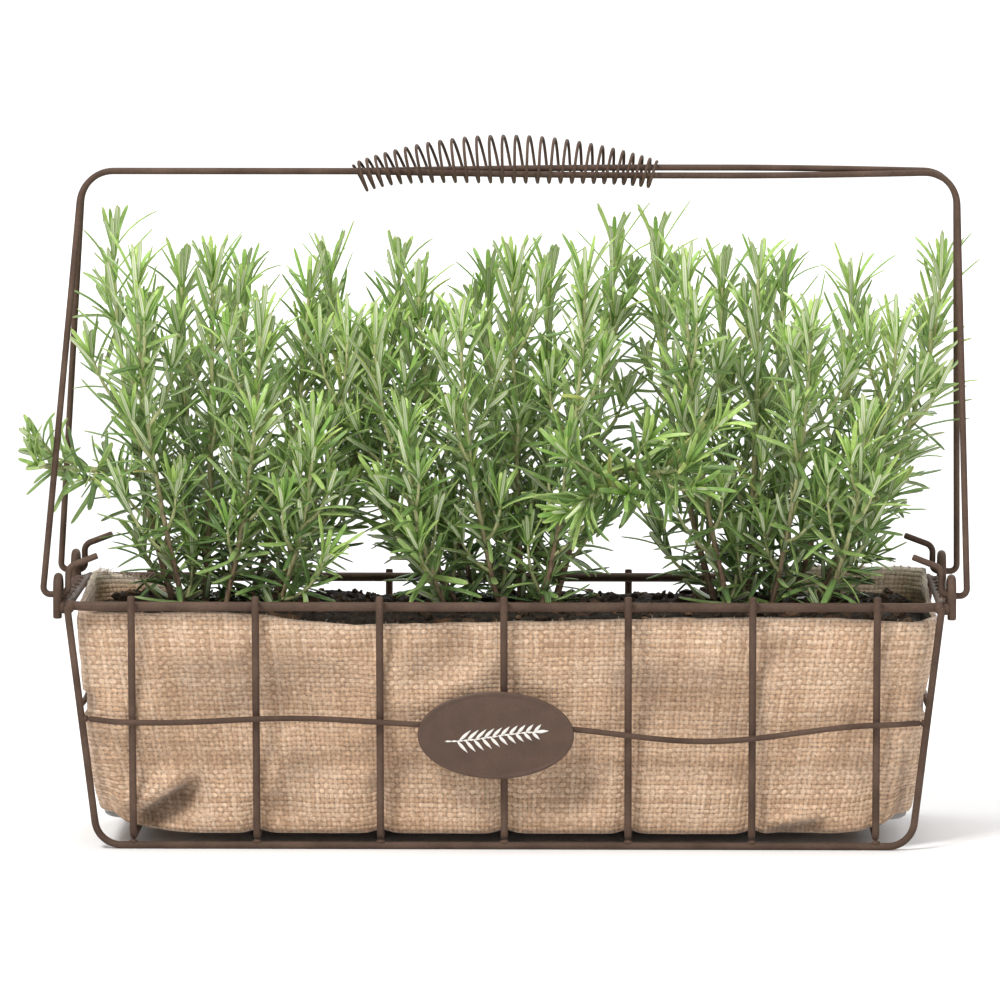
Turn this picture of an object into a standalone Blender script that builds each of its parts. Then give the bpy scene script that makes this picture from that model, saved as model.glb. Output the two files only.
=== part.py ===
"""A wire basket planter with a burlap liner and three rosemary plants, under a bail handle.

The origin is on the floor under the middle of the basket. +X runs along the basket to the right,
+Y to its back and +Z up. Every length is in metres.
"""

import math
import random

import bmesh
import bpy
import numpy as np
from mathutils import Matrix, Vector

# Clearance between two pieces that touch
CONTACT_GAP = 0.0003

# Basket: a rim, two frame wires and seven ribs
RIM_LENGTH = 0.3912
RIM_DEPTH = 0.126
RIM_HEIGHT = 0.110
RIM_CORNER_RADIUS = 0.010
RIM_WIRE = 0.0042
FRAME_WIRE = 0.0033
FRAME_SPLAY_X = 0.0131
FRAME_SPLAY_Y = 0.0055
FRAME_TOP_ANGLE = math.radians(43)
FRAME_CORNER_RADIUS = 0.012
RIB_WIRE = 0.0033
RIB_COUNT = 7
RIB_END_MARGIN = 0.016
RIB_BEND_RADIUS = 0.004
RIB_RISE_FRONT = 0.005
RIB_RISE_REAR = 0.0033

# Crimped middle wires, one on each side
MIDDLE_WIRE = 0.0026
MIDDLE_HEIGHT_FRONT = 0.059
MIDDLE_HEIGHT_SIDE = 0.065
MIDDLE_WAVE_HEIGHT = 0.0022
MIDDLE_WAVE_LENGTH = 0.125
MIDDLE_DROP = 0.008
MIDDLE_DROP_X = 0.085
MIDDLE_DROP_WIDTH = 0.075

# Eye brackets on the basket's ends, which hold the handle
EYE_WIRE = 0.0040
EYE_INSET_Y = 0.010
EYE_WIDTH = 0.012
EYE_RISE = 0.012
EYE_FOOT_DROP = 0.006
EYE_ARCH_SHARE = 0.96

# Handle: two bails bound by a coil
BAIL_WIRE = 0.0029
BAIL_HEIGHT = 0.3014
BAIL_OVERHANG = 0.0070
BAIL_INSET_LEFT = 0.0150
BAIL_INSET_RIGHT = 0.0035
BAIL_CORNER_RADIUS = 0.015
BAIL_TWIST = math.radians(78)
HOOK_RISE = 0.012
HOOK_REACH = 0.013
HOOK_TIP_RISE = 0.005
HOOK_RADIUS = 0.0045
HOOK_FOOT_RADIUS = 0.00315
GRIP_WIRE = 0.0014
GRIP_LENGTH = 0.134
GRIP_TURNS = 28
GRIP_LEFT_SLACK_OVER = 0.0009
GRIP_LEFT_SLACK_UNDER = 0.0071
GRIP_RIGHT_SLACK_OVER = 0.0019
GRIP_RIGHT_SLACK_UNDER = 0.0047
GRIP_MIDDLE_SLACK_OVER = 0.0135
GRIP_MIDDLE_SLACK_UNDER = 0.0024
GRIP_END_PITCH_SHARE = 0.45
GRIP_PITCH_EASE = 0.6
GRIP_RISE_EASE = 0.85
GRIP_DROP_EASE = 6
GRIP_TILT_LEFT = math.radians(-24)
GRIP_TILT_RIGHT = math.radians(12)

# Oval plate
PLATE_LENGTH = 0.070
PLATE_HEIGHT = 0.040
PLATE_THICKNESS = 0.0010
PLATE_LIP_WIDTH = 0.0018
PLATE_LIP_HEIGHT = 0.0005
PLATE_CENTRE_X = -0.0036
PLATE_CENTRE_Z = 0.053

# Liners and soil. The drops are down from the rim, and a drop below zero stands above it.
BURLAP_THICKNESS = 0.0016
FILM_THICKNESS = 0.0008
LINER_CORNER_RADIUS = 0.014
LINER_END_SLACK = 0.0012
LINER_WALL_SLACK = 0.0004
FILM_DROP = 0.0135
BURLAP_FRONT_DROPS = (0.0030, 0.0030, 0.0085, 0.0070, 0.0055, 0.0045, 0.0070)
BURLAP_REAR_DROPS = (-0.0030, 0.0090, 0.0100, 0.0100, 0.0100, 0.0090, -0.0050)
SOIL_EDGE_DROP = 0.0130
SOIL_DROP = 0.0065
SOIL_SHOULDER = 0.0035
SOIL_LUMP = 0.0010
ROOT_TOP_RADIUS = 0.038
ROOT_BASE_RADIUS = 0.030
ROOT_DEPTH = 0.070
ROOT_FOOT_BEVEL = 0.004
ROOT_EDGE_WIDTH = 0.003
ROOT_EDGE_HEIGHT = 0.002
ROOT_OFFSET_X = 0.010

# Rosemary
LEFT_PLANT_INSET = 0.0586
CENTRE_PLANT_X = 0.007
RIGHT_PLANT_INSET = 0.0856
HANDLE_CLEARANCE = 0.0275
STEM_TIP_RADIUS = 0.0009
STEM_TAPER_EASE = 0.8
STEM_CLEARANCE = 0.0012
NEEDLE_LENGTH = 0.020
NEEDLE_BAND = 0.0020
NEEDLE_BODY_RADIUS = 0.0007
NEEDLE_ROOT_RADIUS = 0.0011
NEEDLE_CLEARANCE = 0.0004
NEEDLE_FREE_SHARE = 0.14
NEEDLE_TRIES = 7
NEEDLE_LIFT_LEAST = 28
NEEDLE_LIFT_MOST = 58
NEEDLE_SWING = 16
NEEDLE_SHORTEST = 0.8
NEEDLE_LONGEST = 1.15
NEEDLE_SHRINK = 0.06
FOLIAGE_OVERHANG_LEFT = 0.0205
FOLIAGE_OVERHANG_RIGHT = 0.0176
FOLIAGE_DEPTH = 0.132
OUTWARD_EASE = 1.9
LOW_FOLIAGE_RISE = 0.010
LOW_FOLIAGE_END_MARGIN = 0.012
LOW_FOLIAGE_WALL_MARGIN = 0.008
FOLIAGE_OFF_SOIL = 0.003
SIDE_SHOOT_ROUTE = 0.34
SIDE_SHOOT_LEAN = (-1.0, -0.9, 0.7)
SIDE_SHOOT_CLIMB = 0.03
CROWN_SHARE = 0.65
FIRST_BAND = 0.10
LAST_BAND = 0.985
ROUTE_POINTS = 16
ROUTE_TRIES = 12
ROUTE_STEP = 0.004
BAIL_BERTH = 1.2

# Each shoot of one plant: where it leaves the soil and where its stem ends, both across and back
# from the trunk, then the stem's height as a share of the tallest, its foot's radius and its bands
# of needles. The last one but one leaves the first shoot's side and not the soil.
SHOOTS = (
    ((-0.015, 0.004), (-0.042, 0.010), 1.00, 0.0024, 9),
    ((-0.009, -0.013), (-0.029, -0.028), 0.92, 0.0019, 9),
    ((-0.005, 0.012), (-0.012, 0.026), 0.89, 0.0018, 8),
    ((0.000, -0.002), (0.004, -0.006), 0.93, 0.0026, 9),
    ((0.009, 0.016), (0.016, 0.040), 0.88, 0.0018, 8),
    ((0.010, -0.014), (0.027, -0.034), 0.79, 0.0018, 8),
    ((0.020, 0.006), (0.047, 0.008), 0.87, 0.0020, 8),
    ((0.029, -0.006), (0.066, -0.022), 0.75, 0.0018, 7),
    ((0.031, 0.014), (0.088, 0.024), 0.92, 0.0021, 8),
    (None, (-0.074, -0.052), 0.40, 0.0014, 5),
    ((0.034, -0.020), (0.051, -0.044), 0.50, 0.0016, 6),
)

# Each material's colour and roughness
WIRE_LOOK = ((0.150, 0.098, 0.070), 0.55)
PLATE_LOOK = ((0.110, 0.075, 0.045), 0.5)
BURLAP_LOOK = ((0.56, 0.39, 0.24), 0.9)
FILM_LOOK = ((0.62, 0.63, 0.64), 0.35)
SOIL_LOOK = ((0.035, 0.024, 0.016), 0.95)
ROOT_LOOK = ((0.06, 0.04, 0.025), 0.95)
LEAF_LOOK = ((0.115, 0.215, 0.060), 0.5)

# How finely each shape is made
WIRE_SIDES = 8
THIN_WIRE_SIDES = 6
GRIP_SIDES = 5
GRIP_STEPS = 8
STEM_SIDES = 4
BAIL_ARC_STEPS = 4
BAIL_RUN_STEPS = 12
MIDDLE_STEPS = 24
END_MIDDLE_STEPS = 10
PLATE_SIDES = 40
ROOT_SIDES = 24
SHARP_ANGLE = math.radians(50)
SEED = 7

# Lengths that follow from the ones above
RIM_END_X = RIM_LENGTH / 2
RIM_FRONT_Y = RIM_DEPTH / 2
BASE_LENGTH = RIM_LENGTH - 2 * FRAME_SPLAY_X
BASE_DEPTH = RIM_DEPTH - 2 * FRAME_SPLAY_Y
EYE_SPACING = RIM_DEPTH - 2 * EYE_INSET_Y
EYE_X = RIM_END_X + RIM_WIRE / 2 + CONTACT_GAP + EYE_WIRE / 2
RIB_REACH = RIB_WIRE / 2 / math.cos(math.pi / THIN_WIRE_SIDES)
RIB_TOP_Y = RIM_FRONT_Y + RIM_WIRE / 2 + CONTACT_GAP + RIB_REACH
RIB_FOOT_Z = FRAME_WIRE + CONTACT_GAP + RIB_REACH
RIB_PITCH = (BASE_LENGTH - 2 * RIB_END_MARGIN) / (RIB_COUNT - 1)
BAIL_REACH = BAIL_WIRE / 2 / math.cos(math.pi / THIN_WIRE_SIDES)
EYE_REACH = EYE_WIRE / 2 / math.cos(math.pi / THIN_WIRE_SIDES)
BAIL_EYE_Z = RIM_HEIGHT + max(EYE_REACH, RIM_WIRE / 2) + BAIL_REACH + CONTACT_GAP
BAIL_FOOT_X = EYE_X + BAIL_OVERHANG
BAIL_INNER_X = EYE_X - EYE_REACH - BAIL_REACH - CONTACT_GAP
BAIL_PAIR_OFFSET = BAIL_REACH + CONTACT_GAP / 2
LINER_FLOOR = RIB_FOOT_Z + RIB_REACH + CONTACT_GAP
LINER_TOP_X = RIM_END_X - RIM_WIRE / 2 - LINER_END_SLACK
LINER_TOP_Y = RIM_FRONT_Y - RIM_WIRE / 2 - LINER_WALL_SLACK
SOIL_HEIGHT = RIM_HEIGHT - SOIL_DROP
ROOT_TOP = SOIL_HEIGHT + SOIL_LUMP
TALLEST_STEM = BAIL_HEIGHT - HANDLE_CLEARANCE - ROOT_TOP
PLANTS = (
    ("left", -RIM_END_X + LEFT_PLANT_INSET, 1),
    ("centre", CENTRE_PLANT_X, -1),
    ("right", RIM_END_X - RIGHT_PLANT_INSET, 1),
)


def clear_scene():
    for old in list(bpy.data.objects):
        bpy.data.objects.remove(old, do_unlink=True)


def make_material(name, colour, roughness):
    material = bpy.data.materials.new(name)
    material.use_nodes = True
    shader = material.node_tree.nodes["Principled BSDF"]
    shader.inputs["Base Color"].default_value = (*colour, 1.0)
    shader.inputs["Roughness"].default_value = roughness
    return material


def add_object(name, mesh, colour, roughness, smooth=True):
    """Puts a mesh in the scene as a piece of its own, with a material of its own."""
    mesh.materials.append(make_material(name, colour, roughness))
    if smooth:
        mesh.shade_smooth()
        mesh.set_sharp_from_angle(angle=SHARP_ANGLE)
    piece = bpy.data.objects.new(name, mesh)
    bpy.context.scene.collection.objects.link(piece)
    return piece


def mesh_of(name, points, faces):
    mesh = bpy.data.meshes.new(name)
    mesh.from_pydata([tuple(point) for point in points], [], faces)
    work = bmesh.new()
    work.from_mesh(mesh)
    bmesh.ops.recalc_face_normals(work, faces=work.faces)
    work.to_mesh(mesh)
    work.free()
    return mesh


def blend(low, high, share):
    return low + (high - low) * share


def sampled(values, share):
    """The value at a share of the way along evenly spaced ones, eased between them."""
    place = min(max(share, 0.0), 1.0) * (len(values) - 1)
    first = min(int(place), len(values) - 2)
    part = place - first
    return blend(values[first], values[first + 1], part * part * (3 - 2 * part))


# Wires


def filleted(corners, radii, steps):
    """A path through the corners with an arc of its own radius at each inner one."""
    path = [Vector(corners[0])]
    for before, corner, after, radius in zip(corners, corners[1:], corners[2:], radii):
        corner = Vector(corner)
        back = (Vector(before) - corner).normalized()
        ahead = (Vector(after) - corner).normalized()
        half = back.angle(ahead) / 2
        run = radius / math.tan(half)
        centre = corner + (back + ahead).normalized() * radius / math.sin(half)
        start = corner + back * run - centre
        turn = start.rotation_difference(corner + ahead * run - centre)
        for step in range(steps + 1):
            part = Matrix.Rotation(turn.angle * step / steps, 3, turn.axis)
            path.append(centre + part @ start)
    path.append(Vector(corners[-1]))
    return path


def rounded_rectangle(half_x, half_y, radius, corner_steps, x_steps, y_steps):
    """Points round a rectangle in the XY plane, from the middle of its right side on leftwards."""
    outline = []
    for turn, steps in ((0, x_steps), (1, y_steps), (2, x_steps), (3, y_steps)):
        sign_x = 1 if turn in (0, 3) else -1
        sign_y = 1 if turn in (0, 1) else -1
        centre = Vector((sign_x * (half_x - radius), sign_y * (half_y - radius)))
        for step in range(corner_steps + 1):
            angle = math.pi / 2 * (turn + step / corner_steps)
            outline.append(centre + radius * Vector((math.cos(angle), math.sin(angle))))
        last = outline[-1]
        sign_next_x = 1 if turn in (2, 3) else -1
        sign_next_y = 1 if turn in (0, 3) else -1
        if turn in (0, 2):
            following = Vector((sign_next_x * (half_x - radius), last.y))
        else:
            following = Vector((last.x, sign_next_y * (half_y - radius)))
        outline += [last.lerp(following, step / steps) for step in range(1, steps)]
    return outline


def wire_mesh(name, path, diameter, sides, normal, closed=False):
    """A wire with flat facets along its path. One facet faces along the normal given."""
    count = len(path)
    reach = diameter / 2 / math.cos(math.pi / sides)
    points = []
    for index, point in enumerate(path):
        if closed:
            before, after = path[index - 1], path[(index + 1) % count]
        else:
            before, after = path[max(index - 1, 0)], path[min(index + 1, count - 1)]
        along = (after - before).normalized()
        across = (normal - along * normal.dot(along)).normalized()
        third = along.cross(across)
        for side in range(sides):
            angle = (side + 0.5) * 2 * math.pi / sides
            points.append(point + reach * (math.cos(angle) * across + math.sin(angle) * third))
    faces = []
    for index in range(count if closed else count - 1):
        first, second = index * sides, (index + 1) % count * sides
        for side in range(sides):
            following = (side + 1) % sides
            faces.append((first + side, first + following, second + following, second + side))
    if not closed:
        faces.append(tuple(range(sides)))
        faces.append(tuple(range((count - 1) * sides, count * sides)))
    return mesh_of(name, points, faces)


def add_wire(name, path, diameter, sides, normal, closed=False):
    mesh = wire_mesh(name, path, diameter, sides, Vector(normal), closed)
    return add_object(name, mesh, *WIRE_LOOK)


def make_rim():
    outline = rounded_rectangle(RIM_END_X, RIM_FRONT_Y, RIM_CORNER_RADIUS, 4, 2, 2)
    path = [Vector((point.x, point.y, RIM_HEIGHT)) for point in outline]
    add_wire("rim_wire", path, RIM_WIRE, WIRE_SIDES, (0, 0, 1), closed=True)


def corner_leg_top():
    """Where a frame wire's centre line ends, beside the rim's rounded corner."""
    reach = RIM_CORNER_RADIUS + RIM_WIRE / 2 + CONTACT_GAP * 2 + FRAME_WIRE / 2
    return (
        RIM_END_X - RIM_CORNER_RADIUS + reach * math.sin(FRAME_TOP_ANGLE),
        RIM_FRONT_Y - RIM_CORNER_RADIUS + reach * math.cos(FRAME_TOP_ANGLE),
    )


def make_frame_wire(name, side):
    top_x, top_y = corner_leg_top()
    base_y = side * BASE_DEPTH / 2
    corners = (
        (-top_x, side * top_y, RIM_HEIGHT),
        (-BASE_LENGTH / 2, base_y, FRAME_WIRE / 2),
        (BASE_LENGTH / 2, base_y, FRAME_WIRE / 2),
        (top_x, side * top_y, RIM_HEIGHT),
    )
    path = filleted(corners, (FRAME_CORNER_RADIUS, FRAME_CORNER_RADIUS), 4)
    add_wire(name, path, FRAME_WIRE, WIRE_SIDES, (0, 1, 0))


def rib_y(height):
    """How far the middle line of a rib's upright stands from the basket's middle plane."""
    share = (height - RIB_FOOT_Z) / (RIM_HEIGHT - RIB_FOOT_Z)
    return blend(BASE_DEPTH / 2 + CONTACT_GAP, RIB_TOP_Y, share)


def make_ribs():
    for index in range(RIB_COUNT):
        x = (index - (RIB_COUNT - 1) / 2) * RIB_PITCH
        front_top = RIM_HEIGHT + RIB_RISE_FRONT
        rear_top = RIM_HEIGHT + RIB_RISE_REAR
        corners = (
            (x, -rib_y(front_top), front_top),
            (x, -rib_y(RIB_FOOT_Z), RIB_FOOT_Z),
            (x, rib_y(RIB_FOOT_Z), RIB_FOOT_Z),
            (x, rib_y(rear_top), rear_top),
        )
        path = filleted(corners, (RIB_BEND_RADIUS, RIB_BEND_RADIUS), 3)
        add_wire(f"rib_wire_{index + 1}", path, RIB_WIRE, THIN_WIRE_SIDES, (1, 0, 0))


def leg_place(height):
    """The middle line of a corner leg at a height, right and back of the basket's middle."""
    top_x, top_y = corner_leg_top()
    share = (height - FRAME_WIRE / 2) / (RIM_HEIGHT - FRAME_WIRE / 2)
    return blend(BASE_LENGTH / 2, top_x, share), blend(BASE_DEPTH / 2, top_y, share)


def wave(place):
    return MIDDLE_WAVE_HEIGHT / 2 * math.sin(2 * math.pi * place / MIDDLE_WAVE_LENGTH)


def make_long_middle_wire(name, side):
    """Runs outside the ribs, then steps in and ends against the two corner legs."""
    leg_x, leg_y = leg_place(MIDDLE_HEIGHT_FRONT)
    end_x = leg_x - (FRAME_WIRE + MIDDLE_WIRE) / 2 - CONTACT_GAP
    step_in = (RIB_COUNT - 1) / 2 * RIB_PITCH + 2 * RIB_WIRE
    path = []
    for index in range(MIDDLE_STEPS + 1):
        x = blend(-end_x, end_x, index / MIDDLE_STEPS)
        drop = MIDDLE_DROP * math.exp(-(((x - MIDDLE_DROP_X) / MIDDLE_DROP_WIDTH) ** 2))
        z = MIDDLE_HEIGHT_FRONT + wave(x) - drop
        outer = rib_y(z) + RIB_REACH + MIDDLE_WIRE / 2 + CONTACT_GAP
        share = max(abs(x) - step_in, 0.0) / (end_x - step_in)
        path.append(Vector((x, side * blend(outer, leg_y, share), z)))
    add_wire(name, path, MIDDLE_WIRE, THIN_WIRE_SIDES, (0, 1, 0))


def make_end_middle_wire(name, side):
    """Ends against the inner sides of the front and rear legs."""
    leg_x, leg_y = leg_place(MIDDLE_HEIGHT_SIDE)
    end_y = leg_y - (FRAME_WIRE + MIDDLE_WIRE) / 2 - CONTACT_GAP
    path = []
    for index in range(END_MIDDLE_STEPS + 1):
        y = blend(-end_y, end_y, index / END_MIDDLE_STEPS)
        path.append(Vector((side * leg_x, y, MIDDLE_HEIGHT_SIDE + wave(y))))
    add_wire(name, path, MIDDLE_WIRE, THIN_WIRE_SIDES, (1, 0, 0))


def make_eye_bracket(name, side):
    """One wire along the basket's end, bent up into an eye near each corner."""
    x = side * EYE_X
    outer = EYE_SPACING / 2 + EYE_WIDTH / 2
    inner = EYE_SPACING / 2 - EYE_WIDTH / 2
    foot = RIM_HEIGHT - EYE_FOOT_DROP
    top = RIM_HEIGHT + EYE_RISE
    corners = (
        (x, -outer, foot),
        (x, -outer, top),
        (x, -inner, top),
        (x, -inner, RIM_HEIGHT),
        (x, inner, RIM_HEIGHT),
        (x, inner, top),
        (x, outer, top),
        (x, outer, foot),
    )
    arch = EYE_WIDTH / 2 * EYE_ARCH_SHARE
    path = filleted(corners, (arch, arch, EYE_WIRE, EYE_WIRE, arch, arch), 3)
    add_wire(name, path, EYE_WIRE, THIN_WIRE_SIDES, (1, 0, 0))


# Handle


def bail_y(side, height):
    """A bail leans from its eyes to the middle plane, where the coil binds the two."""
    share = (height - BAIL_EYE_Z) / (BAIL_HEIGHT - BAIL_EYE_Z)
    return side * blend(EYE_SPACING / 2, BAIL_PAIR_OFFSET, min(max(share, 0.0), 1.0))


def bail_path(side):
    """From one cut end through its eye, up, across and down through the other eye."""
    hook_z = BAIL_EYE_Z + HOOK_RISE
    outline = (
        (-BAIL_INNER_X + HOOK_REACH, hook_z + HOOK_TIP_RISE),
        (-BAIL_INNER_X, hook_z),
        (-BAIL_INNER_X, BAIL_EYE_Z),
        (-BAIL_FOOT_X, BAIL_EYE_Z),
        (-BAIL_FOOT_X + BAIL_INSET_LEFT, BAIL_HEIGHT),
        (BAIL_FOOT_X - BAIL_INSET_RIGHT, BAIL_HEIGHT),
        (BAIL_FOOT_X, BAIL_EYE_Z),
        (BAIL_INNER_X, BAIL_EYE_Z),
        (BAIL_INNER_X, hook_z),
        (BAIL_INNER_X - HOOK_REACH, hook_z + HOOK_TIP_RISE),
    )
    corners = [(x, 0.0, z) for x, z in outline]
    hook = (HOOK_RADIUS, HOOK_FOOT_RADIUS, HOOK_FOOT_RADIUS)
    radii = (*hook, BAIL_CORNER_RADIUS, BAIL_CORNER_RADIUS, *reversed(hook))
    path = filleted(corners, radii, BAIL_ARC_STEPS)
    run = 4 * (BAIL_ARC_STEPS + 1) + 1
    left, right = path[run - 1], path[run]
    path[run:run] = [left.lerp(right, step / BAIL_RUN_STEPS) for step in range(1, BAIL_RUN_STEPS)]
    for point in path:
        point.y = bail_y(side, point.z)
        if point.z > BAIL_HEIGHT - BAIL_WIRE:
            reach = min(max(point.x / GRIP_LENGTH + 0.5, 0.0), 1.0)
            fade = min(max((BAIL_FOOT_X - point.x) / (BAIL_FOOT_X / 2), 0.0), 1.0)
            turn = BAIL_TWIST * reach * fade
            point.y = side * BAIL_PAIR_OFFSET * math.cos(turn)
            point.z += side * BAIL_PAIR_OFFSET * math.sin(turn)
    return path


def make_bail(name, side):
    add_wire(name, bail_path(side), BAIL_WIRE, THIN_WIRE_SIDES, (0, 1, 0))


def grip_ring(share):
    """The middle, radius and tilt of the coil's turn at a share of its length."""
    bulge = math.sin(math.pi * share) ** GRIP_RISE_EASE
    settle = 1 - abs(2 * share - 1) ** GRIP_DROP_EASE
    end_over = blend(GRIP_LEFT_SLACK_OVER, GRIP_RIGHT_SLACK_OVER, share)
    end_under = blend(GRIP_LEFT_SLACK_UNDER, GRIP_RIGHT_SLACK_UNDER, share)
    top = BAIL_HEIGHT + 2 * BAIL_REACH + blend(end_over, GRIP_MIDDLE_SLACK_OVER, bulge)
    bottom = BAIL_HEIGHT - 2 * BAIL_REACH - blend(end_under, GRIP_MIDDLE_SLACK_UNDER, settle)
    tilt = blend(GRIP_TILT_LEFT, GRIP_TILT_RIGHT, share)
    return (top + bottom) / 2, (top - bottom) / 2 - GRIP_WIRE / 2, tilt


def make_grip():
    """A coil of thin wire round both bails, open in the middle and close at its ends."""
    steps = GRIP_TURNS * GRIP_STEPS
    pitches = []
    for step in range(steps):
        openness = math.sin(math.pi * (step + 0.5) / steps) ** GRIP_PITCH_EASE
        pitches.append(blend(GRIP_END_PITCH_SHARE, 1.0, openness))
    total = sum(pitches)
    path = []
    for step in range(steps + 1):
        share = sum(pitches[:step]) / total
        middle, radius, tilt = grip_ring(share)
        radius /= math.cos(math.pi / GRIP_STEPS)
        angle = 2 * math.pi * (step + 0.5) / GRIP_STEPS
        rise = radius * math.cos(angle)
        x = (share - 0.5) * GRIP_LENGTH + rise * math.sin(tilt)
        path.append(Vector((x, radius * math.sin(angle), middle + rise * math.cos(tilt))))
    add_wire("grip_coil", path, GRIP_WIRE, GRIP_SIDES, (1, 0, 0))


def make_plate():
    """A flat oval with a raised lip, lying against the front middle wire."""
    count = PLATE_SIDES
    tilt = math.atan2(RIB_TOP_Y - BASE_DEPTH / 2, RIM_HEIGHT - RIB_FOOT_Z)
    lip = PLATE_THICKNESS + PLATE_LIP_HEIGHT
    rings = (
        (0.0, 0.0),
        (0.0, lip),
        (PLATE_LIP_WIDTH * 0.5, lip),
        (PLATE_LIP_WIDTH, PLATE_THICKNESS),
    )
    points = []
    for inset, depth in rings:
        for step in range(count):
            angle = 2 * math.pi * step / count
            x = (PLATE_LENGTH / 2 - inset) * math.cos(angle)
            z = (PLATE_HEIGHT / 2 - inset) * math.sin(angle)
            points.append(Vector((x, -depth, z)))
    faces = []
    for ring in range(len(rings) - 1):
        for step in range(count):
            following = (step + 1) % count
            low, high = ring * count, (ring + 1) * count
            faces.append((low + step, low + following, high + following, high + step))
    faces.append(tuple(range(count)))
    faces.append(tuple(range((len(rings) - 1) * count, len(rings) * count)))
    mesh = mesh_of("label_plate", points, faces)
    plate = add_object("label_plate", mesh, *PLATE_LOOK)
    highest_wire = PLATE_CENTRE_Z + PLATE_HEIGHT / 2
    wire_front = rib_y(PLATE_CENTRE_Z) + RIB_REACH + MIDDLE_WIRE + 2 * CONTACT_GAP
    clear_of_rib = rib_y(highest_wire) + RIB_REACH
    lean = PLATE_HEIGHT / 2 * math.sin(tilt)
    back_y = max(wire_front, clear_of_rib - lean) + CONTACT_GAP
    plate.location = (PLATE_CENTRE_X, -back_y, PLATE_CENTRE_Z)
    plate.rotation_euler = (tilt, 0.0, 0.0)


# Liners and soil


def liner_half_sizes(height):
    """The burlap's outer half length and half depth at a height."""
    share = (height - LINER_FLOOR) / (RIM_HEIGHT - LINER_FLOOR)
    leg_x = BASE_LENGTH / 2 - FRAME_CORNER_RADIUS / 2 - FRAME_WIRE / 2 - LINER_END_SLACK
    wall_y = BASE_DEPTH / 2 - RIB_BEND_RADIUS - RIB_REACH - LINER_WALL_SLACK
    return blend(leg_x, LINER_TOP_X, share), blend(wall_y, LINER_TOP_Y, share)


def liner_outline(height, inset):
    half_x, half_y = liner_half_sizes(height)
    radius = LINER_CORNER_RADIUS - inset
    return rounded_rectangle(half_x - inset, half_y - inset, radius, 3, 10, 3)


def burlap_top(x, y):
    share = x / (2 * LINER_TOP_X) + 0.5
    depth = y / (2 * LINER_TOP_Y) + 0.5
    drop = blend(sampled(BURLAP_FRONT_DROPS, share), sampled(BURLAP_REAR_DROPS, share), depth)
    return RIM_HEIGHT - drop


def tub_mesh(name, inset, thickness, floor, top):
    """A thin-walled tub open at the top. A level of None is its edge, which follows top(x, y)."""
    levels = (
        (floor, inset),
        (None, inset),
        (None, inset + thickness),
        (floor + thickness, inset + thickness),
    )
    points = []
    for height, depth in levels:
        for corner in liner_outline(height or RIM_HEIGHT, depth):
            if height is None:
                edge = top(corner.x, corner.y)
                lean = (RIM_HEIGHT - edge) / (RIM_HEIGHT - LINER_FLOOR)
                wide_x, wide_y = liner_half_sizes(RIM_HEIGHT)
                low_x, low_y = liner_half_sizes(LINER_FLOOR)
                x = corner.x * (1 - lean * (1 - low_x / wide_x))
                y = corner.y * (1 - lean * (1 - low_y / wide_y))
                points.append((x, y, edge))
            else:
                points.append((corner.x, corner.y, height))
    count = len(points) // len(levels)
    faces = []
    for level in range(len(levels) - 1):
        low, high = level * count, (level + 1) * count
        for step in range(count):
            following = (step + 1) % count
            faces.append((low + step, low + following, high + following, high + step))
    faces.append(tuple(range(count)))
    faces.append(tuple(range((len(levels) - 1) * count, len(levels) * count)))
    return mesh_of(name, points, faces)


def make_liners():
    burlap = tub_mesh("burlap_liner", 0.0, BURLAP_THICKNESS, LINER_FLOOR, burlap_top)
    add_object("burlap_liner", burlap, *BURLAP_LOOK)
    inset = BURLAP_THICKNESS + CONTACT_GAP
    floor = LINER_FLOOR + inset
    film = tub_mesh("film_liner", inset, FILM_THICKNESS, floor, lambda x, y: RIM_HEIGHT - FILM_DROP)
    add_object("film_liner", film, *FILM_LOOK)


def root_place(plant_x, facing):
    return Vector((plant_x + facing * ROOT_OFFSET_X, 0.0, ROOT_TOP))


def root_mesh(name, grow, top, edge_width):
    """A round tapered plug, or the well that holds one when it is larger by grow all round."""
    rings = (
        (ROOT_BASE_RADIUS - ROOT_FOOT_BEVEL + grow, -ROOT_DEPTH - grow),
        (ROOT_BASE_RADIUS + grow, -ROOT_DEPTH + ROOT_FOOT_BEVEL),
        (ROOT_TOP_RADIUS + grow, -ROOT_EDGE_HEIGHT),
        (ROOT_TOP_RADIUS + grow - edge_width, top),
    )
    count = ROOT_SIDES
    points = []
    for radius, height in rings:
        for step in range(count):
            angle = 2 * math.pi * (step + 0.5) / count
            points.append((radius * math.cos(angle), radius * math.sin(angle), height))
    faces = []
    for ring in range(len(rings) - 1):
        low, high = ring * count, (ring + 1) * count
        for step in range(count):
            following = (step + 1) % count
            faces.append((low + step, low + following, high + following, high + step))
    faces.append(tuple(range(count)))
    faces.append(tuple(range((len(rings) - 1) * count, len(rings) * count)))
    return mesh_of(name, points, faces)


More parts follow.
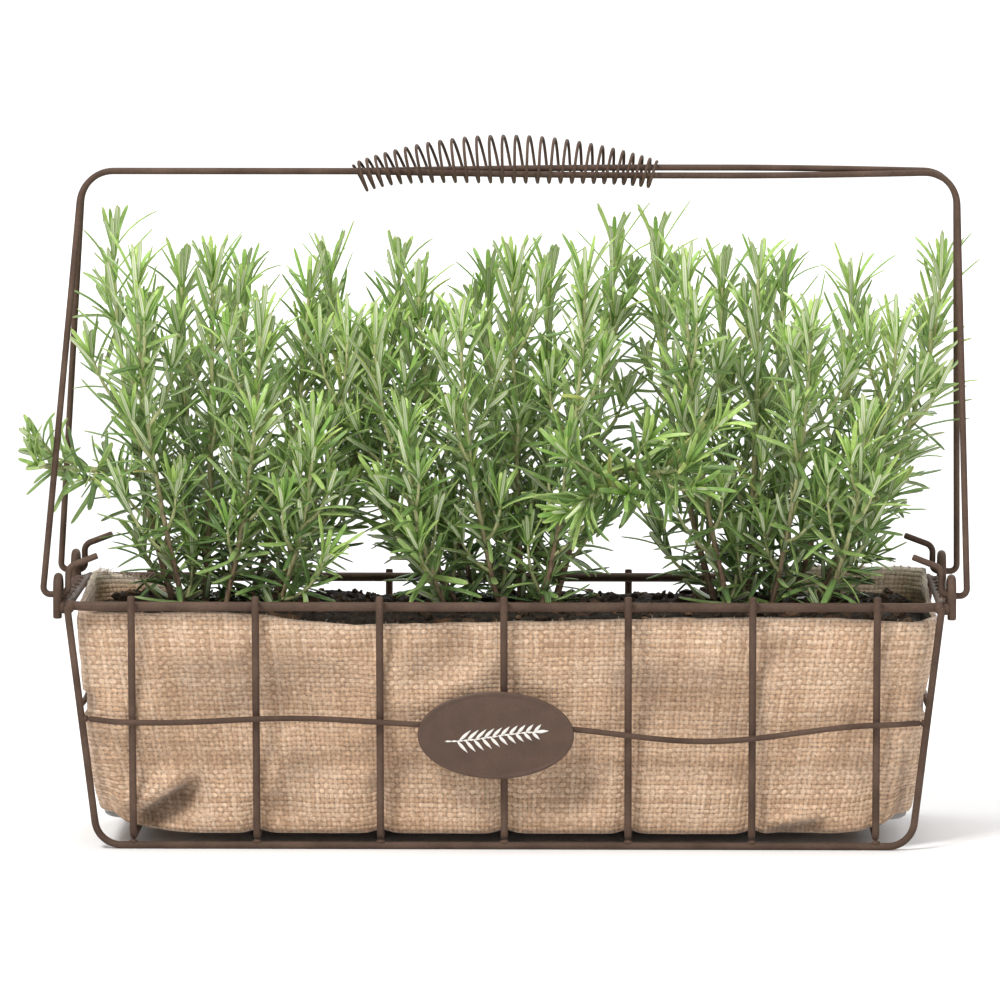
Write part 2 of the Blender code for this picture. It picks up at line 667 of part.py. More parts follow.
def soil_mesh():
    """Fills the film, rounds over at its edge and has a lumpy top."""
    noise = random.Random(SEED)
    inset = BURLAP_THICKNESS + FILM_THICKNESS + 2 * CONTACT_GAP
    floor = LINER_FLOOR + inset
    levels = ((floor, 0.0), (RIM_HEIGHT - SOIL_EDGE_DROP, 0.0), (SOIL_HEIGHT, SOIL_SHOULDER))
    points = []
    for height, shoulder in levels:
        for corner in liner_outline(height, inset + shoulder):
            lump = noise.uniform(-1, 0) * SOIL_LUMP if shoulder else 0.0
            points.append((corner.x, corner.y, height + lump))
    count = len(points) // len(levels)
    faces = []
    for level in range(len(levels) - 1):
        low, high = level * count, (level + 1) * count
        for step in range(count):
            following = (step + 1) % count
            faces.append((low + step, low + following, high + following, high + step))
    faces.append(tuple(range(count)))
    centre = len(points)
    points.append((0.0, 0.0, SOIL_HEIGHT))
    for step in range(count):
        following = (step + 1) % count
        faces.append((2 * count + step, 2 * count + following, centre))
    return mesh_of("potting_soil", points, faces)


def make_soil_and_roots():
    soil = add_object("potting_soil", soil_mesh(), *SOIL_LOOK)
    for name, plant_x, facing in PLANTS:
        ball_mesh = root_mesh(f"{name}_root_ball", 0.0, 0.0, ROOT_EDGE_WIDTH)
        root = add_object(f"{name}_root_ball", ball_mesh, *ROOT_LOOK)
        root.location = root_place(plant_x, facing)
        well_mesh = root_mesh(f"{name}_root_well", CONTACT_GAP, SOIL_LUMP, 0.0)
        well = bpy.data.objects.new(f"{name}_root_well", well_mesh)
        bpy.context.scene.collection.objects.link(well)
        well.location = root.location
        well.hide_render = True
        well.display_type = "WIRE"
        cut = soil.modifiers.new(f"{name}_well", "BOOLEAN")
        cut.operation = "DIFFERENCE"
        cut.solver = "EXACT"
        cut.object = well


# Rosemary


class Space:
    """The round bars that new stems and needles keep clear of."""

    def __init__(self):
        self.starts = np.empty((0, 3))
        self.ends = np.empty((0, 3))
        self.radii = np.empty(0)
        self.owners = np.empty(0, dtype=object)

    def add(self, start, end, radius, owner=""):
        self.starts = np.vstack([self.starts, start])
        self.ends = np.vstack([self.ends, end])
        self.radii = np.append(self.radii, radius)
        self.owners = np.append(self.owners, owner)

    def add_path(self, path, radius, owner=""):
        for start, end in zip(path, path[1:]):
            self.add(start, end, radius, owner)

    def room(self, start, end, leaving=None):
        """The least distance from a line to the bars' surfaces, but for the stem it leaves."""
        distances = segment_distances(start, end, self.starts, self.ends) - self.radii
        return float(distances[self.owners != leaving].min())


def segment_distances(start, end, starts, ends):
    """The distance from one segment to each of many."""
    start, end = np.array(start), np.array(end)
    own, others = end - start, ends - starts
    between = start - starts
    own_square = max(own @ own, 1e-12)
    square = np.maximum((others * others).sum(axis=1), 1e-12)
    cross = others @ own
    along_own = between @ own
    along_other = (others * between).sum(axis=1)
    spread = own_square * square - cross * cross
    flat = spread < 1e-14
    share = np.where(flat, 0.0, (cross * along_other - along_own * square) / np.where(flat, 1, spread))
    share = np.clip(share, 0, 1)
    other_share = np.clip((cross * share + along_other) / square, 0, 1)
    share = np.clip((cross * other_share - along_own) / own_square, 0, 1)
    nearest = start + own * share[:, None]
    other_nearest = starts + others * other_share[:, None]
    return np.linalg.norm(nearest - other_nearest, axis=1)


def wires_to_avoid():
    space = Space()
    outline = rounded_rectangle(RIM_END_X, RIM_FRONT_Y, RIM_CORNER_RADIUS, 2, 1, 1)
    rim = [Vector((point.x, point.y, RIM_HEIGHT)) for point in outline]
    space.add_path(rim + rim[:1], RIM_WIRE / 2)
    for index in range(RIB_COUNT):
        x = (index - (RIB_COUNT - 1) / 2) * RIB_PITCH
        for side in (-1, 1):
            top = RIM_HEIGHT + RIB_RISE_FRONT
            foot = Vector((x, side * RIB_TOP_Y, RIM_HEIGHT))
            space.add(foot, Vector((x, side * rib_y(top), top)), RIB_WIRE / 2)
    for side in (-1, 1):
        space.add_path(bail_path(side), BAIL_WIRE / 2 * BAIL_BERTH)
        for end in (-1, 1):
            foot = Vector((end * EYE_X, side * EYE_SPACING / 2, RIM_HEIGHT))
            space.add(foot, foot + Vector((0, 0, EYE_RISE)), EYE_WIDTH / 2 + EYE_WIRE)
    middle, radius, _ = grip_ring(0.5)
    half = Vector((GRIP_LENGTH / 2, 0, 0))
    grip = Vector((0, 0, middle))
    space.add(grip - half, grip + half, radius + 2 * GRIP_WIRE)
    return space


def route(base, tip, steps):
    """A shoot leaves its foot outwards and then turns up."""
    places = []
    for step in range(steps + 1):
        share = step / steps
        out = 1 - (1 - share) ** OUTWARD_EASE
        flat = base.lerp(tip, out)
        places.append(Vector((flat.x, flat.y, blend(base.z, tip.z, share))))
    return places


def place_on(path, share):
    """The point and the direction at a share of the way along a path's points."""
    place = share * (len(path) - 1)
    first = min(int(place), len(path) - 2)
    return path[first].lerp(path[first + 1], place - first), (path[first + 1] - path[first]).normalized()


def crown_needle(path):
    """The needle that closes a stem's end, in line with it."""
    return (path[-1] - path[-2]).normalized() * NEEDLE_LENGTH * CROWN_SHARE


def clear_route(base, tip, radius, space):
    """The route whose tip is lowered, then moved back or forward, by the least that keeps it clear."""
    for lowering in range(ROUTE_TRIES):
        for shift in range(ROUTE_TRIES):
            for way in (-1, 1):
                sideways = way * shift * ROUTE_STEP
                moved = tip + Vector((0, sideways, -lowering * ROUTE_STEP))
                if abs(moved.y) > FOLIAGE_DEPTH / 2 - NEEDLE_LENGTH / 2:
                    continue
                path = route(base, moved, ROUTE_POINTS)
                whole = [*path[1:], path[-1] + crown_needle(path)]
                room = min(space.room(a, b) for a, b in zip(whole, whole[1:])) - radius
                if room > STEM_CLEARANCE:
                    return path
    return None


def needle_allowed(root, tip):
    """Inside the leafy outline, above the soil, and inside the liner near the rim."""
    if tip.x < -RIM_END_X - FOLIAGE_OVERHANG_LEFT or tip.x > RIM_END_X + FOLIAGE_OVERHANG_RIGHT:
        return False
    if abs(tip.y) > FOLIAGE_DEPTH / 2 or tip.z < ROOT_TOP + FOLIAGE_OFF_SOIL:
        return False
    if min(root.z, tip.z) > RIM_HEIGHT + LOW_FOLIAGE_RISE:
        return True
    inside_ends = abs(tip.x) < LINER_TOP_X - LOW_FOLIAGE_END_MARGIN
    return inside_ends and abs(tip.y) < LINER_TOP_Y - LOW_FOLIAGE_WALL_MARGIN


def fitting_needle(stem, root, outward, along, noise, space):
    """The tip of the first needle that has room, or None."""
    for attempt in range(NEEDLE_TRIES):
        lift = math.radians(noise.uniform(NEEDLE_LIFT_LEAST, NEEDLE_LIFT_MOST))
        swing = math.radians(noise.uniform(-NEEDLE_SWING, NEEDLE_SWING) * (1 + attempt / 3))
        length = NEEDLE_LENGTH * noise.uniform(NEEDLE_SHORTEST, NEEDLE_LONGEST)
        length *= 1 - NEEDLE_SHRINK * attempt
        turned = Matrix.Rotation(swing, 3, along) @ outward
        tip = root + (turned * math.cos(lift) + along * math.sin(lift)) * length
        if not needle_allowed(root, tip):
            continue
        near = root.lerp(tip, NEEDLE_FREE_SHARE)
        middle = root.lerp(tip, 0.5)
        root_room = space.room(near, middle, stem) - NEEDLE_ROOT_RADIUS
        tip_room = space.room(middle, tip, stem) - NEEDLE_BODY_RADIUS
        if min(root_room, tip_room) > NEEDLE_CLEARANCE:
            return tip
    return None


def stem_rings(path, foot_radius, bands):
    """The stem's corner points ring by ring, and each ring's middle and direction."""
    length = sum((b - a).length for a, b in zip(path, path[1:]))
    half_band = NEEDLE_BAND / 2 / length
    shares = [0.0]
    for band in range(bands):
        middle = blend(FIRST_BAND, LAST_BAND, band / (bands - 1))
        shares += [middle - half_band, middle + half_band]
    points, middles = [], []
    across = Vector((1, 0, 0))
    for share in shares:
        place, along = place_on(path, share)
        if share == 0 and path[0].z < RIM_HEIGHT:
            along = Vector((0, 0, 1))
        across = (across - along * across.dot(along)).normalized()
        third = along.cross(across)
        radius = blend(foot_radius, STEM_TIP_RADIUS, share**STEM_TAPER_EASE)
        middles.append((place, along))
        for side in range(STEM_SIDES):
            angle = 2 * math.pi * side / STEM_SIDES
            points.append(place + radius * (math.cos(angle) * across + math.sin(angle) * third))
    return points, middles


def spike(corners, peak):
    """The four sides of a needle drawn out of a face."""
    return [(corners[side], corners[(side + 1) % 4], peak) for side in range(4)]


def sprig_mesh(name, path, foot_radius, bands, space, noise):
    """A stem with needles drawn out of its sides, as one closed surface."""
    points, middles = stem_rings(path, foot_radius, bands)
    faces = [tuple(range(STEM_SIDES))]
    last_ring = len(middles) - 1
    for ring in range(last_ring):
        for side in range(STEM_SIDES):
            following = (side + 1) % STEM_SIDES
            low, high = ring * STEM_SIDES, (ring + 1) * STEM_SIDES
            quad = (low + side, low + following, high + following, high + side)
            tip = None
            if ring % 2 == 1:
                root = sum((points[corner] for corner in quad), Vector()) / 4
                middle = (middles[ring][0] + middles[ring + 1][0]) / 2
                outward = (root - middle).normalized()
                tip = fitting_needle(name, root, outward, middles[ring][1], noise, space)
            if tip is None:
                faces.append(quad)
                continue
            near = root.lerp(tip, NEEDLE_FREE_SHARE)
            space.add(near, root.lerp(tip, 0.5), NEEDLE_ROOT_RADIUS)
            space.add(root.lerp(tip, 0.5), tip, NEEDLE_BODY_RADIUS)
            faces += spike(quad, len(points))
            points.append(tip)
    crown = [last_ring * STEM_SIDES + side for side in range(STEM_SIDES)]
    faces += spike(crown, len(points))
    points.append(path[-1] + crown_needle(path))
    return mesh_of(name, points, faces)


def side_shoot_route(parent_path, parent_radius, tip, radius, facing, space):
    """Leaves the parent stem at the lowest place that has a clear way up."""
    for climb in range(ROUTE_TRIES):
        place, _ = place_on(parent_path, SIDE_SHOOT_ROUTE + climb * SIDE_SHOOT_CLIMB)
        lean_x, lean_y, lean_z = SIDE_SHOOT_LEAN
        outwards = Vector((facing * lean_x, lean_y, lean_z)).normalized()
        base = place + outwards * (parent_radius + radius + 2 * CONTACT_GAP)
        path = clear_route(base, tip, radius, space)
        if path:
            return path
    return None


def shoot_paths(name, plant_x, facing, space):
    """Every shoot's name, path, foot radius and bands, with each stem clear of the others."""
    found = []
    for index, (start, end, height, radius, bands) in enumerate(SHOOTS):
        tip = Vector((plant_x + facing * end[0], end[1], ROOT_TOP + TALLEST_STEM * height))
        if start is None:
            parent_path, parent_radius = found[0][1:3]
            path = side_shoot_route(parent_path, parent_radius, tip, radius, facing, space)
        else:
            base = Vector((plant_x + facing * start[0], start[1], ROOT_TOP + CONTACT_GAP))
            path = clear_route(base, tip, radius, space)
        shoot = f"{name}_rosemary_sprig_{index + 1:02d}"
        if path is None:
            raise ValueError(f"{shoot} has no clear way up")
        space.add_path([*path, path[-1] + crown_needle(path)], radius, shoot)
        found.append((shoot, path, radius, bands))
    return found


def make_plants():
    space = wires_to_avoid()
    noise = random.Random(SEED)
    shoots = []
    for name, plant_x, facing in PLANTS:
        shoots += shoot_paths(name, plant_x, facing, space)
    for shoot, path, radius, bands in shoots:
        mesh = sprig_mesh(shoot, path, radius, bands, space, noise)
        add_object(shoot, mesh, *LEAF_LOOK, smooth=False)


def main():
    clear_scene()
    make_rim()
    make_frame_wire("front_frame_wire", -1)
    make_frame_wire("rear_frame_wire", 1)
    make_ribs()
    make_long_middle_wire("front_middle_wire", -1)
    make_long_middle_wire("rear_middle_wire", 1)
    make_end_middle_wire("left_middle_wire", -1)
    make_end_middle_wire("right_middle_wire", 1)
    make_eye_bracket("left_eye_bracket", -1)
    make_eye_bracket("right_eye_bracket", 1)
    make_bail("front_bail", -1)
    make_bail("rear_bail", 1)
    make_grip()
    make_plate()
    make_liners()
    make_soil_and_roots()
    make_plants()


main()
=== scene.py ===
"""The looks of the rosemary planter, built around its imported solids.

+X runs along the basket, +Y to its back and +Z up, in metres, with the origin on the floor.
"""

import math
import random

import bpy
import numpy as np
from mathutils import Matrix, Vector, noise


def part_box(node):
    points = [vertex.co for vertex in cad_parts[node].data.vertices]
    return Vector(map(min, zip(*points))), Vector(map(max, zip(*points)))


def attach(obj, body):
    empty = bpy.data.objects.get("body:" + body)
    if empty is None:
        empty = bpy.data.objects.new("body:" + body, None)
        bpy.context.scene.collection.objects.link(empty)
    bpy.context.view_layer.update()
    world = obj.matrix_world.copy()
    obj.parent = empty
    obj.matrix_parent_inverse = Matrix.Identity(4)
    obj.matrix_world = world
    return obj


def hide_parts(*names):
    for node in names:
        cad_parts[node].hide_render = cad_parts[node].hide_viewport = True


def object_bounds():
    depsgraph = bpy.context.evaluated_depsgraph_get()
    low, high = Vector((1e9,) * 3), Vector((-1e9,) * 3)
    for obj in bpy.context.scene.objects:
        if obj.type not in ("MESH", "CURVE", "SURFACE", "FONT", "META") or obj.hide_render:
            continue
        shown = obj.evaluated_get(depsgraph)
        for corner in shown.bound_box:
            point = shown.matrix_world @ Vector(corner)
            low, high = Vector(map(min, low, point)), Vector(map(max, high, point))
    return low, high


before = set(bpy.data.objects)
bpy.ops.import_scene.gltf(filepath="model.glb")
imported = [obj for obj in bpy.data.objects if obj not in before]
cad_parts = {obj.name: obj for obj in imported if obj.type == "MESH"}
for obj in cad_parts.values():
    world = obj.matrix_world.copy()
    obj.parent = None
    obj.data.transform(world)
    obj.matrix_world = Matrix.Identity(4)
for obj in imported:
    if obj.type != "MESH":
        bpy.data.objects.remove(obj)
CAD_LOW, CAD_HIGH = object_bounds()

# Sizes shared with the solids
GAP = 0.0003
RIM_LENGTH = 0.3912
RIM_DEPTH = 0.126
RIM_HEIGHT = 0.110
RIM_CORNER_RADIUS = 0.010
RIM_WIRE = 0.0042
FRAME_WIRE = 0.0033
FRAME_SPLAY_X = 0.0131
FRAME_SPLAY_Y = 0.0055
FRAME_TOP_ANGLE = math.radians(43)
FRAME_CORNER_RADIUS = 0.012
RIB_WIRE = 0.0033
RIB_COUNT = 7
RIB_END_MARGIN = 0.016
RIB_BEND_RADIUS = 0.004
RIB_RISE_FRONT = 0.005
RIB_RISE_REAR = 0.0033
MIDDLE_WIRE = 0.0026
MIDDLE_HEIGHT_FRONT = 0.059
MIDDLE_HEIGHT_SIDE = 0.065
MIDDLE_WAVE_HEIGHT = 0.0022
MIDDLE_WAVE_LENGTH = 0.125
MIDDLE_DROP = 0.008
MIDDLE_DROP_X = 0.085
MIDDLE_DROP_WIDTH = 0.075
EYE_WIRE = 0.0040
EYE_INSET_Y = 0.010
EYE_WIDTH = 0.012
EYE_RISE = 0.012
EYE_FOOT_DROP = 0.006
EYE_ARCH_SHARE = 0.96
BAIL_WIRE = 0.0029
BAIL_HEIGHT = 0.3014
BAIL_OVERHANG = 0.0070
BAIL_INSET_LEFT = 0.0150
BAIL_INSET_RIGHT = 0.0035
BAIL_CORNER_RADIUS = 0.015
BAIL_TWIST = math.radians(78)
HOOK_RISE = 0.012
HOOK_REACH = 0.013
HOOK_TIP_RISE = 0.005
HOOK_RADIUS = 0.0045
HOOK_FOOT_RADIUS = 0.00315
GRIP_WIRE = 0.0014
GRIP_LENGTH = 0.134
GRIP_TURNS = 28
GRIP_LEFT_SLACK_OVER = 0.0009
GRIP_LEFT_SLACK_UNDER = 0.0071
GRIP_RIGHT_SLACK_OVER = 0.0019
GRIP_RIGHT_SLACK_UNDER = 0.0047
GRIP_MIDDLE_SLACK_OVER = 0.0135
GRIP_MIDDLE_SLACK_UNDER = 0.0024
GRIP_END_PITCH_SHARE = 0.45
GRIP_PITCH_EASE = 0.6
GRIP_RISE_EASE = 0.85
GRIP_DROP_EASE = 6
GRIP_TILT_LEFT = math.radians(-24)
GRIP_TILT_RIGHT = math.radians(12)
PLATE_LENGTH = 0.070
PLATE_HEIGHT = 0.040
BURLAP_THICKNESS = 0.0016
FILM_THICKNESS = 0.0008
LINER_CORNER_RADIUS = 0.014
LINER_END_SLACK = 0.0012
LINER_WALL_SLACK = 0.0004
BURLAP_FRONT_DROPS = (0.0030, 0.0030, 0.0085, 0.0070, 0.0055, 0.0045, 0.0070)
BURLAP_REAR_DROPS = (-0.0030, 0.0090, 0.0100, 0.0100, 0.0100, 0.0090, -0.0050)
SOIL_DROP = 0.0065
SOIL_LUMP = 0.0010
SOIL_MARGIN = 0.0042
SOIL_CORNER = 0.010
ROOT_TOP_RADIUS = 0.038
ROOT_BASE_RADIUS = 0.030
ROOT_DEPTH = 0.070
ROOT_OFFSET_X = 0.010
LEFT_PLANT_INSET = 0.0586
CENTRE_PLANT_X = 0.007
RIGHT_PLANT_INSET = 0.0856
HANDLE_CLEARANCE = 0.0275
OUTWARD_EASE = 1.9
SIDE_SHOOT_ROUTE = 0.34
SIDE_SHOOT_LEAN = (-1.0, -0.9, 0.7)
CROWN_REACH = 0.013
SHOWN_SHARE = 0.955
STEM_CLEARANCE = 0.0012
FOLIAGE_DEPTH = 0.132

# Sizes of the looks alone
WARP_PITCH = 0.0023
WEFT_PITCH = 0.00205
THREAD_SHARE = 0.44
BURLAP_LEVELS = 66
BURLAP_FOOT_ROUNDING = 0.0026
BURLAP_CORNER_LIFT = 0.0050
CORNER_LIFT = 0.0022
CLOTH_SAG = 0.0016
CLOTH_BULGE_OUT = 0.0105
CLOTH_BULGE_AT_RIM = 0.0010
CLOTH_BULGE_IN = -0.0088
FILM_LEVELS = 56
FILM_INSET = BURLAP_THICKNESS + 0.0012
FILM_SKIN = 0.0004
FILM_FOOT_ROUNDING = 0.0015
FILM_DROP = 0.0135
MOTIF_RISE = 0.00028
MOTIF_TAIL_X = -0.0215
WELD_STEPS = 9
FRINGE_TRIES = 2400
CRUMB_COUNT = 1500
NEEDLE_CLEARANCE = 0.0028
NEEDLE_SPACING = 0.0062
NEEDLE_WIDTH = 0.00270
CROWN_WIDTH = 0.00236
TUFT_WIDTH = 0.0019
STEM_STEPS = 48
STEM_SIDES = 8
SWEEP_HALF_WIDTH = 8.0
SWEEP_FRONT_Y = -7.0
SWEEP_BEND_Y = 6.0
SWEEP_BEND_RADIUS = 0.8
SWEEP_TOP = 5.0
LIGHT_TARGET = (0.0, 0.0, 0.15)
CAMERA_LENS = 266.9
CAMERA_PLACE = (0.0562, -3.354, 0.474)
CAMERA_AIM = (-0.0018, -0.063, 0.158)

# Each shoot of one plant, as in the solids: foot, tip, height share and foot radius
SHOOTS = (
    ((-0.015, 0.004), (-0.042, 0.010), 1.00, 0.0024),
    ((-0.009, -0.013), (-0.029, -0.028), 0.92, 0.0019),
    ((-0.005, 0.012), (-0.012, 0.026), 0.89, 0.0018),
    ((0.000, -0.002), (0.004, -0.006), 0.93, 0.0026),
    ((0.009, 0.016), (0.016, 0.040), 0.88, 0.0018),
    ((0.010, -0.014), (0.027, -0.034), 0.79, 0.0018),
    ((0.020, 0.006), (0.047, 0.008), 0.87, 0.0020),
    ((0.029, -0.006), (0.066, -0.022), 0.75, 0.0018),
    ((0.031, 0.014), (0.088, 0.024), 0.92, 0.0021),
    (None, (-0.074, -0.052), 0.40, 0.0014),
    ((0.034, -0.020), (0.051, -0.044), 0.50, 0.0016),
)

# Lengths that follow
RIM_END_X = RIM_LENGTH / 2
RIM_FRONT_Y = RIM_DEPTH / 2
BASE_LENGTH = RIM_LENGTH - 2 * FRAME_SPLAY_X
BASE_DEPTH = RIM_DEPTH - 2 * FRAME_SPLAY_Y
EYE_SPACING = RIM_DEPTH - 2 * EYE_INSET_Y
HEX = math.cos(math.pi / 6)
RIB_REACH = RIB_WIRE / 2 / HEX
EYE_X = RIM_END_X + RIM_WIRE / 2 + GAP + EYE_WIRE / 2
RIB_TOP_Y = RIM_FRONT_Y + RIM_WIRE / 2 + GAP + RIB_REACH
RIB_FOOT_Z = FRAME_WIRE + GAP + RIB_REACH
RIB_PITCH = (BASE_LENGTH - 2 * RIB_END_MARGIN) / (RIB_COUNT - 1)
BAIL_REACH = BAIL_WIRE / 2 / HEX
EYE_REACH = EYE_WIRE / 2 / HEX
BAIL_EYE_Z = RIM_HEIGHT + max(EYE_REACH, RIM_WIRE / 2) + BAIL_REACH + GAP
BAIL_FOOT_X = EYE_X + BAIL_OVERHANG
BAIL_INNER_X = EYE_X - EYE_REACH - BAIL_REACH - GAP
BAIL_PAIR_OFFSET = BAIL_REACH + GAP / 2
LINER_FLOOR = RIB_FOOT_Z + RIB_REACH + GAP
LINER_TOP_X = RIM_END_X - RIM_WIRE / 2 - LINER_END_SLACK
LINER_TOP_Y = RIM_FRONT_Y - RIM_WIRE / 2 - LINER_WALL_SLACK
SOIL_HEIGHT = RIM_HEIGHT - SOIL_DROP
ROOT_TOP = SOIL_HEIGHT + SOIL_LUMP
TALLEST_STEM = BAIL_HEIGHT - HANDLE_CLEARANCE - ROOT_TOP
PLANTS = (
    ("left", -RIM_END_X + LEFT_PLANT_INSET, 1),
    ("centre", CENTRE_PLANT_X, -1),
    ("right", RIM_END_X - RIGHT_PLANT_INSET, 1),
)
UP = Vector((0, 0, 1))


def mix(low, high, share):
    return low + (high - low) * share


def clamp(value, low=0.0, high=1.0):
    return min(max(value, low), high)


def smooth(share):
    share = clamp(share)
    return share * share * (3 - 2 * share)


def sampled(values, share):
    place = clamp(share) * (len(values) - 1)
    first = min(int(place), len(values) - 2)
    part = place - first
    return mix(values[first], values[first + 1], part * part * (3 - 2 * part))


# Materials


class Nodes:
    """Builds one material's node tree in few words."""

    def __init__(self, name):
        self.material = bpy.data.materials.new(name)
        self.material.use_nodes = True
        self.tree = self.material.node_tree
        self.shader = self.tree.nodes["Principled BSDF"]

    def node(self, kind, **settings):
        made = self.tree.nodes.new(kind)
        for key, value in settings.items():
            setattr(made, key, value)
        return made

    def link(self, source, target):
        self.tree.links.new(source, target)

    def set(self, **values):
        for key, value in values.items():
            socket = self.shader.inputs[key.replace("_", " ")]
            socket.default_value = (*value, 1.0) if isinstance(value, tuple) else value

    def place(self, target, value):
        if isinstance(value, bpy.types.NodeSocket):
            self.link(value, target)
        else:
            target.default_value = value

    def math(self, kind, *values, clamped=False):
        made = self.node("ShaderNodeMath", operation=kind, use_clamp=clamped)
        for socket, value in zip(made.inputs, values):
            self.place(socket, value)
        return made.outputs[0]

    def coords(self):
        return self.node("ShaderNodeTexCoord").outputs["Object"]

    def scaled(self, vector, scale):
        made = self.node("ShaderNodeMapping")
        self.link(vector, made.inputs["Vector"])
        made.inputs["Scale"].default_value = scale
        return made.outputs["Vector"]

    def noise(self, vector, scale, detail=3.0, rough=0.55, out="Fac"):
        made = self.node("ShaderNodeTexNoise")
        self.link(vector, made.inputs["Vector"])
        made.inputs["Scale"].default_value = scale
        made.inputs["Detail"].default_value = detail
        made.inputs["Roughness"].default_value = rough
        return made.outputs[out]

    def cells(self, vector, scale):
        made = self.node("ShaderNodeTexVoronoi", feature="F1")
        self.link(vector, made.inputs["Vector"])
        made.inputs["Scale"].default_value = scale
        return made.outputs["Distance"]

    def ramp(self, value, *stops):
        """Stops are (place, colour or grey)."""
        made = self.node("ShaderNodeValToRGB")
        ramp = made.color_ramp
        while len(ramp.elements) < len(stops):
            ramp.elements.new(0.5)
        for element, (place, colour) in zip(ramp.elements, stops):
            element.position = place
            grey = isinstance(colour, (int, float))
            element.color = (colour, colour, colour, 1) if grey else (*colour, 1)
        self.link(value, made.inputs["Fac"])
        return made.outputs["Color"]

    def blend(self, share, first, second, kind="MIX"):
        made = self.node("ShaderNodeMix", data_type="RGBA", blend_type=kind)
        self.place(made.inputs[0], share)
        for socket, value in zip((made.inputs[6], made.inputs[7]), (first, second)):
            self.place(socket, (*value, 1.0) if isinstance(value, tuple) else value)
        return made.outputs[2]

    def bump(self, height, strength, distance, below=None):
        made = self.node("ShaderNodeBump")
        made.inputs["Strength"].default_value = strength
        made.inputs["Distance"].default_value = distance
        self.link(height, made.inputs["Height"])
        if below is not None:
            self.link(below, made.inputs["Normal"])
        return made.outputs["Normal"]

    def attribute(self, name, out="Fac"):
        return self.node("ShaderNodeAttribute", attribute_name=name).outputs[out]

    def tinted(self, colour, shade):
        return self.blend(1.0, colour, shade, "MULTIPLY")

    def sum(self, first, second):
        return self.math("ADD", first, second)

    def product(self, first, second):
        return self.math("MULTIPLY", first, second)


def wire_material():
    m = Nodes("powder_coated_wire")
    where = m.coords()
    broad = m.noise(where, 55, 3)
    fine = m.noise(where, 900, 2)
    colour = m.ramp(broad, (0.30, (0.066, 0.039, 0.027)), (0.70, (0.122, 0.077, 0.056)))
    speck = m.ramp(fine, (0.35, 0.82), (0.65, 1.0))
    m.link(m.tinted(colour, speck), m.shader.inputs["Base Color"])
    m.link(m.ramp(broad, (0.3, 0.56), (0.7, 0.72)), m.shader.inputs["Roughness"])
    m.link(m.bump(fine, 0.25, 0.0002), m.shader.inputs["Normal"])
    m.set(Specular_IOR_Level=0.16)
    return m.material


def plate_material():
    m = Nodes("label_plate_paint")
    where = m.coords()
    grain = m.noise(where, 1400, 3, 0.7)
    broad = m.noise(where, 90, 3)
    colour = m.ramp(broad, (0.3, (0.066, 0.033, 0.018)), (0.75, (0.100, 0.052, 0.031)))
    speck = m.ramp(grain, (0.35, 0.72), (0.62, 1.0))
    m.link(m.tinted(colour, speck), m.shader.inputs["Base Color"])
    m.link(m.ramp(grain, (0.3, 0.42), (0.7, 0.6)), m.shader.inputs["Roughness"])
    m.link(m.bump(grain, 0.35, 0.0003), m.shader.inputs["Normal"])
    return m.material


def motif_material():
    m = Nodes("cream_paint")
    grain = m.noise(m.coords(), 1100, 3, 0.6)
    m.link(m.ramp(grain, (0.3, (0.66, 0.63, 0.58)), (0.7, (0.84, 0.82, 0.78))), m.shader.inputs["Base Color"])
    m.link(m.ramp(grain, (0.3, 0.5), (0.7, 0.7)), m.shader.inputs["Roughness"])
    m.link(m.bump(grain, 0.3, 0.0002), m.shader.inputs["Normal"])
    return m.material


